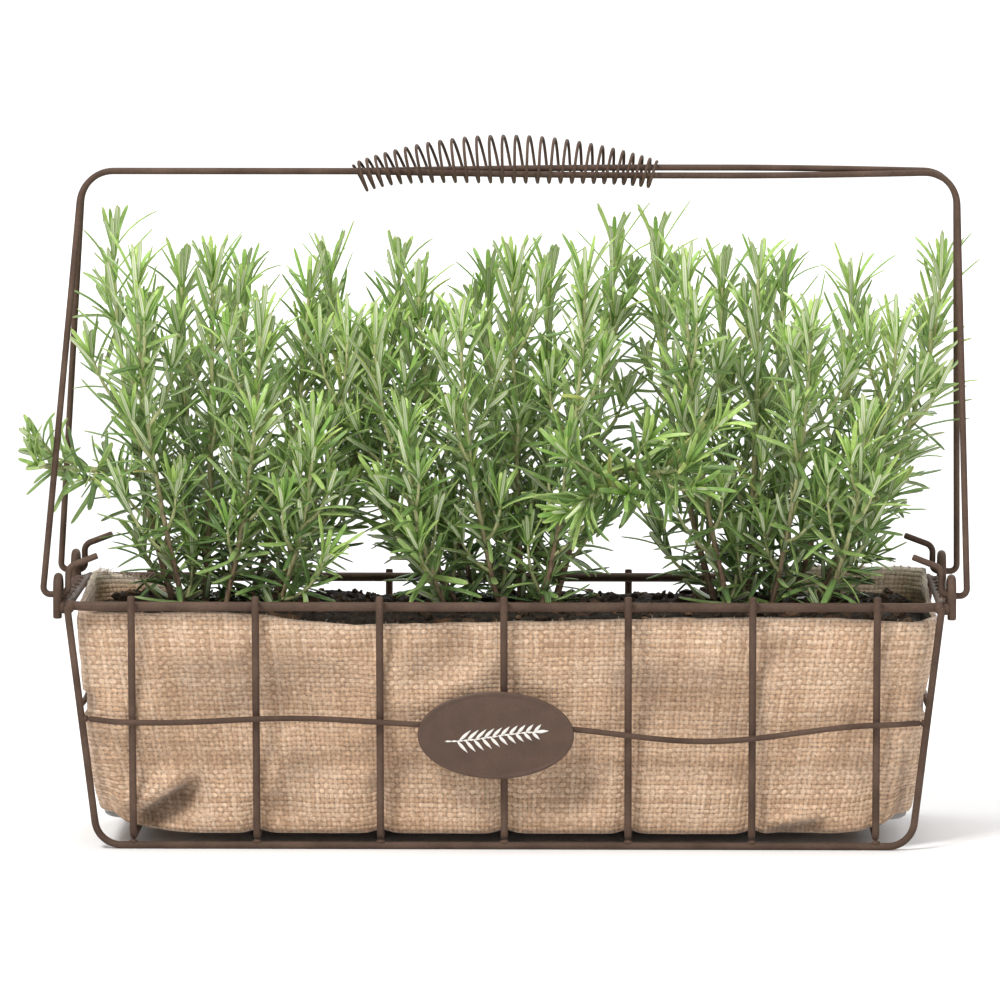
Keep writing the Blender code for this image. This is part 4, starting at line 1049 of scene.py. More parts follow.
def liner_half_sizes(height):
    share = (height - LINER_FLOOR) / (RIM_HEIGHT - LINER_FLOOR)
    leg_x = BASE_LENGTH / 2 - FRAME_CORNER_RADIUS / 2 - FRAME_WIRE / 2 - LINER_END_SLACK
    wall_y = BASE_DEPTH / 2 - RIB_BEND_RADIUS - RIB_REACH - LINER_WALL_SLACK
    return mix(leg_x, LINER_TOP_X, share), mix(wall_y, LINER_TOP_Y, share)


def burlap_edge(x, y):
    share = x / (2 * LINER_TOP_X) + 0.5
    depth = y / (2 * LINER_TOP_Y) + 0.5
    drop = mix(sampled(BURLAP_FRONT_DROPS, share), sampled(BURLAP_REAR_DROPS, share), depth)
    return RIM_HEIGHT - drop + 0.0004 * noise.noise(Vector((x * 140, y * 140, 3.0)))


def ridge(x, z, start, end, width, depth):
    """A fold along a line: a hollow under a lower crest, fading at its ends."""
    along_x, along_z = end[0] - start[0], end[1] - start[1]
    length = math.hypot(along_x, along_z)
    along_x, along_z = along_x / length, along_z / length
    run = ((x - start[0]) * along_x + (z - start[1]) * along_z) / length
    off = ((x - start[0]) * -along_z + (z - start[1]) * along_x) / width
    fade = smooth(run * 4) * smooth((1 - run) * 2.5)
    crest = 0.42 * math.exp(-(((off - 1.0) / 0.8) ** 2))
    sharp = 0.45 if width < 0.0065 else 0.95
    hollow = math.exp(-((off / (sharp if off > 0 else 1.6)) ** 2))
    return depth * fade * (crest - hollow)


# Where each fold in the front runs, how wide it is and how deep
FRONT_FOLDS = (
    ((-0.1700, 0.0090), (-0.1325, 0.0350), 0.0062, 0.0092),
    ((0.1160, 0.0080), (0.1480, 0.0135), 0.0050, 0.0065),
    ((0.1745, 0.0080), (0.1800, 0.0560), 0.0045, 0.0050),
    ((0.1845, 0.0300), (0.1880, 0.0980), 0.0040, 0.0032),
    ((-0.1680, 0.0760), (-0.0500, 0.0790), 0.0125, 0.0046),
    ((-0.0080, 0.0930), (-0.0500, 0.0730), 0.0090, 0.0040),
    ((-0.1080, 0.0120), (-0.0860, 0.0500), 0.0080, 0.0042),
    ((-0.0620, 0.0200), (-0.0340, 0.0480), 0.0075, 0.0034),
    ((0.0400, 0.0760), (0.1280, 0.0725), 0.0120, 0.0048),
    ((0.1080, 0.0900), (0.1420, 0.0930), 0.0070, 0.0030),
    ((0.0120, 0.0330), (0.0520, 0.0400), 0.0100, 0.0036),
    ((0.1480, 0.0350), (0.1640, 0.0640), 0.0070, 0.0032),
)


def rib_nearness(x, width=0.0085):
    """1 at a rib, falling to 0 away from it."""
    last = (RIB_COUNT - 1) / 2
    nearest = clamp(round(x / RIB_PITCH), -last, last) * RIB_PITCH
    return math.exp(-(((x - nearest) / width) ** 2))


def burlap_bulge(x, y, height, out):
    """How far the cloth stands off its tub, with the ribs and the rim holding it back."""
    share = clamp((height - LINER_FLOOR) / (RIM_HEIGHT - LINER_FLOOR))
    held = math.sin(math.pi * min(share, 1.0)) ** 0.6
    broad = noise.noise(Vector((x * 19, y * 19 + 4.7, height * 26)))
    middle = noise.noise(Vector((x * 52, y * 52 + 9.1, height * 60)))
    small = noise.noise(Vector((x * 150, y * 150, height * 150 + 2.2)))
    on_wall = out.y * out.y
    loose = 0.35 + 0.65 * on_wall
    bulge = held * (0.0010 + loose * (0.0058 * broad + 0.0030 * middle)) + 0.00045 * small
    if out.y < 0:
        bulge += on_wall * sum(ridge(x, height, *fold) for fold in FRONT_FOLDS)
    free = 1 - rib_nearness(x)
    bulge += on_wall * 0.0016 * free * (1 - smooth(share * 3.2))
    _, half_y = liner_half_sizes(height)
    room = (rib_y(height) - RIB_REACH - GAP - half_y) * smooth((height - LINER_FLOOR) / 0.006)
    if on_wall > 0.5:
        bulge = min(bulge, room + 0.0030 * free)
    under_rim = 1 - smooth((height - RIM_HEIGHT + 0.0085) / 0.005)
    end = mix(0.0088, 0.0012, smooth(share))
    if out.x > 0:
        end += 0.0030 * math.exp(-(((share - 0.82) / 0.16) ** 2))
    bulge += (1 - on_wall) * end * under_rim
    highest = mix(CLOTH_BULGE_AT_RIM, CLOTH_BULGE_OUT, under_rim)
    if on_wall < 0.5:
        half_x, _ = liner_half_sizes(height)
        wire_x, _ = leg_place(MIDDLE_HEIGHT_SIDE)
        end_room = wire_x - MIDDLE_WIRE / 2 - 2 * GAP - half_x
        held_in = clamp(1.6 * math.exp(-(((height - MIDDLE_HEIGHT_SIDE) / 0.0065) ** 2)))
        highest = mix(highest, min(highest, end_room), held_in)
    return clamp(bulge, CLOTH_BULGE_IN, highest)


def cloth_sag(x, height):
    """The cloth hangs down a little between the ribs that carry it."""
    within = smooth(((RIB_COUNT - 1) / 2 * RIB_PITCH - abs(x)) / 0.004)
    carried = rib_nearness(x, 0.0042)
    return CLOTH_SAG * (1 - carried) * within * (1 - smooth((height - LINER_FLOOR) / 0.035))


def liner_walls():
    """The liners' outline at the rim: each corner, the way it faces, and how far round it is."""
    base = rounded_rectangle(*liner_half_sizes(RIM_HEIGHT), LINER_CORNER_RADIUS, 14, 0.0016)
    outs, runs = [], [0.0]
    for index, corner in enumerate(base):
        before, after = base[index - 1], base[(index + 1) % len(base)]
        outs.append(Vector((after.y - before.y, before.x - after.x, 0)).normalized())
        runs.append(runs[-1] + (after - corner).length)
    return base, outs, runs


def wall_place(corner, out, height, inset, lift=0.0):
    wide_x, wide_y = liner_half_sizes(RIM_HEIGHT)
    half_x, half_y = liner_half_sizes(height)
    x, y = corner.x * half_x / wide_x, corner.y * half_y / wide_y
    place = Vector((x, y, height)) + out * (burlap_bulge(x, y, height, out) - inset)
    place.z += lift - cloth_sag(x, height)
    return place


def round_foot(run, rounding):
    """How far in the wall is, low down, where it turns into the floor."""
    part = clamp(1 - run / rounding)
    return rounding * (1 - math.sqrt(1 - part * part))


def tub_rows(walls, levels, inner, rounding, edge, extra):
    """One skin of a tub, from the middle of its floor to its edge."""
    base, outs, runs = walls
    points, uvs, rows = [], [], []
    reach_x = LINER_TOP_X * 0.72
    for ring in range(1, 8):
        rows.append(range(len(points), len(points) + len(base)))
        for corner, out in zip(base, outs):
            foot = wall_place(corner, out, LINER_FLOOR, inner + rounding * 1.02)
            middle = Vector((clamp(foot.x, -reach_x, reach_x), 0.0, 0.0))
            place = middle.lerp(foot, ring / 8)
            lift = corner_lift(corner, extra) * (ring / 8) ** 4
            place.z = LINER_FLOOR + inner + lift - cloth_sag(place.x, LINER_FLOOR)
            points.append(place)
            uvs.append((place.x, place.y + 1.0 + inner * 100))
    for level in range(levels + 1):
        share = (level / levels) ** 1.08
        rows.append(range(len(points), len(points) + len(base)))
        for corner, out, run in zip(base, outs, runs):
            top = edge(corner)
            height = mix(LINER_FLOOR + inner, top, share)
            tuck = inner + round_foot(height - LINER_FLOOR - inner, rounding)
            lift = corner_lift(corner, extra) * (1 - smooth(share * 3))
            points.append(wall_place(corner, out, height, tuck, lift))
            uvs.append((run, height + inner * 100))
    return points, uvs, rows


def tub_sheet(walls, levels, outer, inner, rounding, edge, extra):
    """A closed thin tub: its outer skin, over its edge, and its inner skin."""
    points, uvs, rows = tub_rows(walls, levels, outer, rounding, edge, extra)
    more_points, more_uvs, more_rows = tub_rows(walls, levels, inner, rounding, edge, extra)
    start = len(points)
    all_rows = [list(row) for row in rows]
    all_rows += [[start + corner for corner in row] for row in reversed(more_rows)]
    count = len(all_rows[0])
    faces = []
    for low, high in zip(all_rows, all_rows[1:]):
        for index in range(count):
            following = (index + 1) % count
            faces.append((low[index], low[following], high[following], high[index]))
    faces.append(tuple(reversed(all_rows[0])))
    faces.append(tuple(all_rows[-1]))
    return points + more_points, uvs + more_uvs, faces


def make_burlap(material, fibre):
    def edge(corner):
        return cloth_edge(corner.x, corner.y)

    walls = liner_walls()
    points, uvs, faces = tub_sheet(
        walls, BURLAP_LEVELS, 0.0, BURLAP_THICKNESS, BURLAP_FOOT_ROUNDING, edge, BURLAP_CORNER_LIFT
    )
    burlap = mesh_object("burlap_liner_cloth", points, faces, material)
    give_weave_uv(burlap, uvs)
    # Bleached fibre along the cut edge, strongest at the rear and in the rear left tuft, plus painted light
    # on the rear right flap
    fray_and_painted_light = []
    for point in points:
        near_edge = 1 - clamp((cloth_edge(point.x, point.y) - point.z) / 0.0035)
        rear = smooth((point.y + 0.005) / 0.04)
        tufted = math.exp(-(((point.x + 0.182) / 0.016) ** 2)) * rear
        rough = 0.5 + 0.5 * noise.noise(Vector((point.x * 260, point.y * 260, point.z * 260)))
        strength = 0.20 + 0.80 * rear + tufted
        # Painted light: the rear right flap's cloth lies in shade and is lifted towards the pale fibre colour
        # here
        flap = 0.42 * smooth((point.x - 0.095) / 0.02) * rear * smooth((point.z - 0.100) / 0.006)
        tuft = tufted * 0.5 * smooth((point.z - 0.104) / 0.006)
        fray_and_painted_light.append(clamp(near_edge * strength * (0.5 + rough) + tuft + flap))
    point_values(burlap, "fray_and_painted_light", fray_and_painted_light)
    # Painted shade: how deep each front point lies in a fold, kept as the hollow attribute that darkens the
    # cloth there
    painted_fold_shade = []
    for point in points:
        in_front = point.y < -0.040 and abs(point.x) < 0.180
        depth = -sum(ridge(point.x, point.z, *fold) for fold in FRONT_FOLDS) if in_front else 0.0
        painted_fold_shade.append(clamp(depth / 0.0090))
    point_values(burlap, "hollow", painted_fold_shade)
    finish_piece(burlap, "burlap", "burlap_liner")
    fringe = make_fringe(fibre, walls[0])


def cloth_edge(x, y):
    """The cut edge's height: as in the solid, with a taller flap at the rear right."""
    flap = smooth((x - 0.108) / 0.014) * smooth((y - 0.030) / 0.020)
    height = max(burlap_edge(x, y), mix(0.0, RIM_HEIGHT + 0.0056, flap))
    return height + 0.0006 * noise.noise(Vector((x * 90, y * 90, 8.0)))


def corner_lift(corner, extra):
    """The tub turns up a little at the foot of each end, and its cloth more than its film."""
    reach = abs(corner.x)
    return CORNER_LIFT * smooth((reach - 0.150) / 0.045) + extra * smooth((reach - 0.1855) / 0.005)


def give_weave_uv(piece, uvs):
    layer = piece.data.uv_layers.new(name="weave")
    corners = np.zeros(len(piece.data.loops), np.int32)
    piece.data.loops.foreach_get("vertex_index", corners)
    layer.data.foreach_set("uv", np.asarray(uvs, np.float32)[corners].ravel())


def make_fringe(material, base):
    """Loose fibres along the cut edge, most of them at the rear corners."""
    chance = random.Random(31)
    parts = []
    for _ in range(FRINGE_TRIES):
        index = chance.randrange(len(base))
        corner = base[index]
        tuft = corner.y > 0.015 and corner.x < -0.160
        at_rear = corner.y > 0.02 and corner.x > 0.100
        if chance.random() > (1.0 if tuft else 0.5 if at_rear else 0.05):
            continue
        top = cloth_edge(corner.x, corner.y)
        before, after = base[index - 1], base[(index + 1) % len(base)]
        out = Vector((after.y - before.y, before.x - after.x, 0)).normalized()
        along = Vector((after.x - before.x, after.y - before.y, 0)).normalized()
        half_x, half_y = liner_half_sizes(top)
        wide_x, wide_y = liner_half_sizes(RIM_HEIGHT)
        start = Vector((corner.x * half_x / wide_x, corner.y * half_y / wide_y, top - 0.0005))
        start -= out * chance.uniform(0.0002, 0.0014)
        reach = chance.uniform(0.0008, 0.0020) * (2.2 if tuft else 1.2 if at_rear else 1.0)
        lean = along * chance.uniform(-1, 1) - out * chance.uniform(0.0, 0.9)
        heading = (UP * chance.uniform(0.4, 1.0) + lean * 0.8).normalized()
        curl = (along * chance.uniform(-1, 1) - out * 0.5).normalized()
        path = [start + heading * reach * s + curl * reach * 0.45 * s * s for s in (0, 0.35, 0.7, 1.0)]
        parts.append(tube(path, np.array((0.00016, 0.00014, 0.0001, 0.00005)), 4))
    points, faces = joined(parts)
    fringe = mesh_object("burlap_fringe", points, faces, material)
    return finish_piece(fringe, "burlap")


def make_film(material):
    """A thin tub of film inside the cloth, following its folds."""

    def edge(corner):
        return min(RIM_HEIGHT - FILM_DROP, cloth_edge(corner.x, corner.y) - 0.003)

    points, _, faces = tub_sheet(
        liner_walls(), FILM_LEVELS, FILM_INSET, FILM_INSET + FILM_SKIN, FILM_FOOT_ROUNDING, edge, 0.0
    )
    film = mesh_object("film_liner_sheet", points, faces, material)
    finish_piece(film, "liner_film", "film_liner")


# Soil


def soil_top(x, y):
    """The soil's lumpy surface, lower beside the liner."""
    half_x, half_y = LINER_TOP_X - SOIL_MARGIN, LINER_TOP_Y - SOIL_MARGIN
    edge = min(half_x - abs(x), half_y - abs(y))
    clods = noise.noise(Vector((x * 75, y * 75, 0.0)))
    crumbs = noise.noise(Vector((x * 260, y * 260, 5.0)))
    fine = noise.noise(Vector((x * 620, y * 620, 9.0)))
    rise = 0.0020 * clods + 0.0012 * crumbs + 0.0006 * fine
    return SOIL_HEIGHT + 0.0008 + rise - 0.0055 * (1 - smooth(edge / 0.012))


def make_soil(material, crumbs):
    half_x, half_y = LINER_TOP_X - SOIL_MARGIN, LINER_TOP_Y - SOIL_MARGIN
    count_x, count_y = 260, 84
    points, faces = [], []
    for row in range(count_y + 1):
        for column in range(count_x + 1):
            x = mix(-half_x, half_x, column / count_x)
            y = mix(-half_y, half_y, row / count_y)
            # The corners follow the liner's rounding
            over_x = abs(x) - (half_x - SOIL_CORNER)
            over_y = abs(y) - (half_y - SOIL_CORNER)
            if over_x > 0 and over_y > 0:
                reach = math.hypot(over_x, over_y)
                limit = max(over_x, over_y)
                x = math.copysign(half_x - SOIL_CORNER + over_x * limit / reach, x)
                y = math.copysign(half_y - SOIL_CORNER + over_y * limit / reach, y)
            points.append((x, y, soil_top(x, y)))
    width = count_x + 1
    for row in range(count_y):
        for column in range(count_x):
            first = row * width + column
            faces.append((first, first + 1, first + 1 + width, first + width))
    rim = list(range(width))
    rim += [row * width + count_x for row in range(1, count_y + 1)]
    rim += [count_y * width + column for column in range(count_x - 1, -1, -1)]
    rim += [row * width for row in range(count_y - 1, 0, -1)]
    floor_x, floor_y = liner_half_sizes(LINER_FLOOR)
    floor_z = LINER_FLOOR + BURLAP_THICKNESS + FILM_THICKNESS + 3 * GAP
    upper = rim
    for level, inset in ((0.12, 0.0055), (0.25, 0.0125), (1.0, 0.0125)):
        lower = []
        for corner in rim:
            x, y, z = points[corner]
            goal_x = x * (mix(half_x + SOIL_MARGIN, floor_x, level) - inset) / half_x
            goal_y = y * (mix(half_y + SOIL_MARGIN, floor_y, level) - inset) / half_y
            lower.append(len(points))
            points.append((goal_x, goal_y, mix(z, floor_z, level)))
        for index in range(len(rim)):
            following = (index + 1) % len(rim)
            faces.append((upper[following], upper[index], lower[index], lower[following]))
        upper = lower
    faces.append(tuple(reversed(upper)))
    soil = mesh_object("potting_soil_look", points, faces, material)
    finish_piece(soil, "potting_soil", "potting_soil")
    make_crumbs(crumbs)


def crumb(centre, size, chance):
    """An angular lump of twelve corners."""
    golden = (1 + math.sqrt(5)) / 2
    corners = [
        (-1, golden, 0), (1, golden, 0), (-1, -golden, 0), (1, -golden, 0),
        (0, -1, golden), (0, 1, golden), (0, -1, -golden), (0, 1, -golden),
        (golden, 0, -1), (golden, 0, 1), (-golden, 0, -1), (-golden, 0, 1),
    ]
    faces = [
        (0, 11, 5), (0, 5, 1), (0, 1, 7), (0, 7, 10), (0, 10, 11), (1, 5, 9), (5, 11, 4), (11, 10, 2),
        (10, 7, 6), (7, 1, 8), (3, 9, 4), (3, 4, 2), (3, 2, 6), (3, 6, 8), (3, 8, 9), (4, 9, 5),
        (2, 4, 11), (6, 2, 10), (8, 6, 7), (9, 8, 1),
    ]
    turn = Matrix.Rotation(chance.uniform(0, 6.28), 3, "Z") @ Matrix.Rotation(chance.uniform(0, 6.28), 3, "X")
    stretch = (chance.uniform(0.6, 1.4), chance.uniform(0.6, 1.4), chance.uniform(0.45, 0.9))
    points = []
    for corner in corners:
        place = Vector(corner) * chance.uniform(0.72, 1.18) / 1.9
        place = Vector(place[axis] * stretch[axis] for axis in range(3))
        points.append(Vector(centre) + turn @ place * size)
    return points, faces


def make_crumbs(material):
    chance = random.Random(12)
    parts, tints = [], []
    half_x, half_y = LINER_TOP_X - 0.009, LINER_TOP_Y - 0.008
    for _ in range(CRUMB_COUNT):
        x = chance.uniform(-half_x, half_x)
        y = chance.uniform(-half_y, half_y)
        size = 0.0007 + 0.0030 * chance.random() ** 3.2
        rise = size * chance.uniform(-0.1, 0.45)
        part = crumb((x, y, soil_top(x, y) + rise), size, chance)
        parts.append(part)
        tints += [chance.random()] * len(part[0])
    points, faces = joined(parts)
    made = mesh_object("soil_crumbs", points, faces, material, smooth_faces=False)
    point_values(made, "tint", tints)
    finish_piece(made, "potting_soil")


def make_root_balls(material):
    for name, plant_x, facing in PLANTS:
        centre_x = plant_x + facing * ROOT_OFFSET_X
        rings, sides = 26, 48
        points = []
        profile = [(ROOT_BASE_RADIUS * share, -ROOT_DEPTH) for share in (0.3, 0.6, 0.85)]
        for step in range(rings):
            share = step / (rings - 1)
            radius = mix(ROOT_BASE_RADIUS, ROOT_TOP_RADIUS - 0.0008, share)
            profile.append((radius, mix(-ROOT_DEPTH + 0.003, -0.003, share)))
        profile += [(ROOT_TOP_RADIUS * share, -0.0012) for share in (0.92, 0.8, 0.65, 0.5, 0.35, 0.2, 0.08)]
        for radius, height in profile:
            for side in range(sides):
                angle = 2 * math.pi * side / sides
                x, y = radius * math.cos(angle), radius * math.sin(angle)
                z = ROOT_TOP + height
                if height > -0.004:
                    lump = 0.0010 * noise.noise(Vector((x * 190, y * 190, 4.0)))
                    z = min(z, soil_top(centre_x + x, y) + 0.0002) + lump
                skin = 1 + 0.012 * noise.noise(Vector((x * 120, y * 120, z * 120)))
                points.append((centre_x + x * skin, y * skin, z))
        faces = capped(len(profile), sides)
        made = mesh_object(f"{name}_root_ball_look", points, faces, material)
        finish_piece(made, "root_ball", f"{name}_root_ball")


# Rosemary


class Space:
    """Round bars to keep clear of."""

    def __init__(self):
        self.starts = np.empty((0, 3))
        self.ends = np.empty((0, 3))
        self.radii = np.empty(0)

    def add_path(self, path, radius):
        points = np.array([tuple(point) for point in path])
        self.starts = np.vstack([self.starts, points[:-1]])
        self.ends = np.vstack([self.ends, points[1:]])
        self.radii = np.append(self.radii, np.full(len(points) - 1, radius))

    def room(self, start, end):
        return float((segment_distances(start, end, self.starts, self.ends) - self.radii).min())


def segment_distances(start, end, starts, ends):
    """The distance from one segment to each of many."""
    start, end = np.array(start), np.array(end)
    own, others = end - start, ends - starts
    between = start - starts
    own_square = max(own @ own, 1e-12)
    square = np.maximum((others * others).sum(axis=1), 1e-12)
    cross = others @ own
    along_own = between @ own
    along_other = (others * between).sum(axis=1)
    spread = own_square * square - cross * cross
    flat = spread < 1e-14
    share = np.where(flat, 0.0, (cross * along_other - along_own * square) / np.where(flat, 1, spread))
    share = np.clip(share, 0, 1)
    other_share = np.clip((cross * share + along_other) / square, 0, 1)
    share = np.clip((cross * other_share - along_own) / own_square, 0, 1)
    return np.linalg.norm(start + own * share[:, None] - starts - others * other_share[:, None], axis=1)


def wires_to_avoid():
    space = Space()
    outline = rounded_rectangle(RIM_END_X, RIM_FRONT_Y, RIM_CORNER_RADIUS, 3, 1.0)
    rim = [Vector((p.x, p.y, RIM_HEIGHT)) for p in outline]
    space.add_path(rim + rim[:1], RIM_WIRE / 2)
    for index in range(RIB_COUNT):
        x = (index - (RIB_COUNT - 1) / 2) * RIB_PITCH
        for side in (-1, 1):
            top = RIM_HEIGHT + RIB_RISE_FRONT
            space.add_path([(x, side * RIB_TOP_Y, RIM_HEIGHT), (x, side * rib_y(top), top)], RIB_WIRE / 2)
    for side in (-1, 1):
        space.add_path(bail_path(side, 4, 0.03), BAIL_WIRE / 2)
        for end in (-1, 1):
            foot = Vector((end * EYE_X, side * EYE_SPACING / 2, RIM_HEIGHT))
            space.add_path([foot, foot + Vector((0, 0, EYE_RISE))], EYE_WIDTH / 2 + EYE_WIRE / 2)
    middle, radius, _ = grip_ring(0.5)
    half = Vector((GRIP_LENGTH / 2, 0, 0))
    grip = Vector((0, 0, middle))
    space.add_path([grip - half, grip + half], radius + GRIP_WIRE)
    return space


def route(base, tip, steps):
    places = []
    for step in range(steps + 1):
        share = step / steps
        out = 1 - (1 - share) ** OUTWARD_EASE
        flat = base.lerp(tip, out)
        places.append(Vector((flat.x, flat.y, mix(base.z, tip.z, share))))
    return places


def clear_route(base, tip, radius, space):
    for lowering in range(12):
        for shift in range(12):
            for way in (-1, 1):
                moved = tip + Vector((0, way * shift * 0.004, -lowering * 0.004))
                if abs(moved.y) > FOLIAGE_DEPTH / 2 - 0.010:
                    continue
                path = route(base, moved, 16)
                crown = (path[-1] - path[-2]).normalized() * CROWN_REACH
                whole = [*path[1:], path[-1] + crown]
                if min(space.room(a, b) for a, b in zip(whole, whole[1:])) - radius > STEM_CLEARANCE:
                    return path
    return route(base, tip, 16)


def place_on(path, share):
    place = clamp(share) * (len(path) - 1)
    first = min(int(place), len(path) - 2)
    return path[first].lerp(path[first + 1], place - first), (path[first + 1] - path[first]).normalized()


# A needle's cross-section: place across, height, 1 on the upper side, and nearness to the midrib
SECTION = (
    (-1.00, -0.10, 1.0, 0.0), (-0.78, 0.16, 1.0, 0.0), (-0.22, 0.20, 1.0, 0.2), (0.0, 0.06, 1.0, 1.0),
    (0.22, 0.20, 1.0, 0.2), (0.78, 0.16, 1.0, 0.0), (1.00, -0.10, 1.0, 0.0), (0.70, -0.28, 1.0, 0.0),
    (0.50, -0.10, 0.0, 0.0), (0.0, -0.18, 0.0, 1.0), (-0.50, -0.10, 0.0, 0.0), (-0.70, -0.28, 1.0, 0.0),
)
STATIONS = (0.0, 0.07, 0.22, 0.42, 0.64, 0.84, 0.95, 1.0)
WIDTHS = (0.50, 0.78, 0.96, 1.00, 1.00, 0.92, 0.68, 0.22)


class Needles:
    """Collects needles, and makes them all as one set of points."""

    def __init__(self):
        self.rows = []

    def add(self, root, heading, upper, length, width, curve, young, tint):
        self.rows.append((*root, *heading, *upper, length, width, curve, young, tint))

    def build(self):
        data = np.array(self.rows, float)
        root, heading, upper = data[:, 0:3], data[:, 3:6], data[:, 6:9]
        length, width, curve, young, tint = data[:, 9], data[:, 10], data[:, 11], data[:, 12], data[:, 13]
        heading /= np.linalg.norm(heading, axis=1)[:, None]
        upper -= heading * (upper * heading).sum(axis=1)[:, None]
        upper /= np.linalg.norm(upper, axis=1)[:, None]
        across = np.cross(heading, upper)
        bend = np.where(np.abs(curve) < 1e-3, 1e-3, curve)
        section = np.array(SECTION)
        points, leaf, midrib, youth = [], [], [], []
        for station, breadth in zip(STATIONS, WIDTHS):
            turn = bend * station
            forward = np.sin(turn) / bend * length
            rise = (1 - np.cos(turn)) / bend * length
            middle = root + heading * forward[:, None] + upper * rise[:, None]
            normal = upper * np.cos(turn)[:, None] - heading * np.sin(turn)[:, None]
            half = (width / 2 * breadth)[:, None, None]
            ring = middle[:, None] + across[:, None] * section[None, :, 0:1] * half
            ring = ring + normal[:, None] * section[None, :, 1:2] * half * 1.15
            points.append(ring)
            ones = np.ones((len(data), len(section)))
            marks = (section[None, :, 2] * ones, station * ones, tint[:, None] * ones, ones)
            leaf.append(np.stack(marks, axis=-1))
            midrib.append(section[None, :, 3] * ones)
            youth.append(young[:, None] * ones)
        points = np.stack(points, axis=1)
        leaf = np.stack(leaf, axis=1)
        midrib = np.stack(midrib, axis=1)
        youth = np.stack(youth, axis=1)
        sides, stations = len(section), len(STATIONS)
        faces = []
        for needle in range(len(data)):
            faces += capped(stations, sides, needle * sides * stations)
        return points.reshape(-1, 3), faces, leaf.reshape(-1, 4), midrib.ravel(), youth.ravel()


def needle_fits(root, heading, length, space):
    """Inside the box, above the soil, inside the liner near the rim and clear of the wires."""
    tip = root + heading * length
    if tip.x < CAD_LOW.x - 0.004 or tip.x > CAD_HIGH.x + 0.003 or abs(tip.y) > FOLIAGE_DEPTH / 2 + 0.003:
        return False
    if tip.z < SOIL_HEIGHT + 0.002 or tip.z > BAIL_HEIGHT - 0.004:
        return False
    if min(root.z, tip.z) < RIM_HEIGHT + 0.006:
        if abs(tip.x) > LINER_TOP_X - 0.004 or abs(tip.y) > LINER_TOP_Y - 0.004:
            return False
    return space.room(root, tip) > NEEDLE_CLEARANCE


def across_stem(along, angle):
    side = Vector((1, 0, 0)) if abs(along.x) < 0.9 else Vector((0, 1, 0))
    side = (side - along * along.dot(side)).normalized()
    return Matrix.Rotation(angle, 3, along) @ side


def grow_leaves(path, needles, space, chance, settings):
    """Pairs of needles up a stem, tufts in their axils and a crown of young ones."""
    radius_at, length_of, spacing, tuft_chance, start_share, youth = settings
    total = sum((b - a).length for a, b in zip(path, path[1:]))
    run = start_share * total
    turn = chance.uniform(0, math.pi)
    while run < total:
        share = run / total
        place, along = place_on(path, share)
        young = clamp(youth(share) + chance.uniform(-0.12, 0.12))
        for side in (0, 1):
            for attempt in range(5):
                angle = turn + side * math.pi + chance.uniform(-0.35, 0.35)
                out = across_stem(along, angle)
                spread = mix(chance.uniform(48, 96), chance.uniform(16, 42), smooth(share * 1.25 - 0.15))
                spread = math.radians(spread + 6 * attempt)
                heading = (out * math.sin(spread) + along * math.cos(spread)).normalized()
                length = length_of(share) * chance.uniform(0.82, 1.15) * (1 - 0.07 * attempt)
                root = place + out * radius_at(share) * 0.7
                if needle_fits(root, heading, length, space):
                    upper = along - heading * along.dot(heading)
                    curve = mix(chance.uniform(-0.85, 0.45), chance.uniform(-0.75, 0.30), share)
                    width = NEEDLE_WIDTH * chance.uniform(0.85, 1.15) * mix(1.0, 0.92, young)
                    needles.add(root, heading, upper, length, width, curve, young, chance.random())
                    break
            if chance.random() < tuft_chance * (0.4 + share):
                angle = turn + side * math.pi
                grow_tuft(place, along, angle, needles, space, chance, radius_at(share), young)
        turn += math.pi / 2 + chance.uniform(-0.2, 0.2)
        run += spacing * mix(1.0, 0.86, smooth(share)) * chance.uniform(0.85, 1.2)
    grow_crown(path, needles, space, chance, length_of(1.0), youth(1.0))


def grow_tuft(place, along, angle, needles, space, chance, radius, young):
    out = across_stem(along, angle)
    axis = (out * 0.62 + along).normalized()
    for _ in range(chance.randint(2, 4)):
        side = across_stem(axis, chance.uniform(0, 2 * math.pi))
        heading = (axis + side * chance.uniform(0.10, 0.50)).normalized()
        length = chance.uniform(0.007, 0.0145)
        root = place + out * radius * 0.7
        if needle_fits(root, heading, length, space):
            needles.add(
                root, heading, axis - heading * axis.dot(heading) - side * 0.2, length,
                TUFT_WIDTH * chance.uniform(0.85, 1.1), chance.uniform(-0.5, 0.2),
                clamp(young + 0.38), chance.random(),
            )


def grow_crown(path, needles, space, chance, length, youth):
    tip = path[-1]
    along = (path[-1] - path[-2]).normalized()
    count = chance.randint(7, 9)
    for number in range(count):
        side = across_stem(along, 2 * math.pi * number * 0.382 + chance.uniform(-0.3, 0.3))
        spread = mix(0.46, 0.05, number / count) * chance.uniform(0.6, 1.4)
        heading = (along + side * spread).normalized()
        reach = length * mix(1.16, 0.74, number / count) * chance.uniform(0.82, 1.10)
        root = tip - along * 0.0012 + side * 0.0003
        if needle_fits(root, heading, reach, space):
            needles.add(
                root, heading, along - heading * along.dot(heading) - side * 0.3, reach,
                CROWN_WIDTH * chance.uniform(0.85, 1.1), chance.uniform(-0.95, 0.15),
                clamp(youth + 0.2 + 0.4 * number / count), chance.random(),
            )


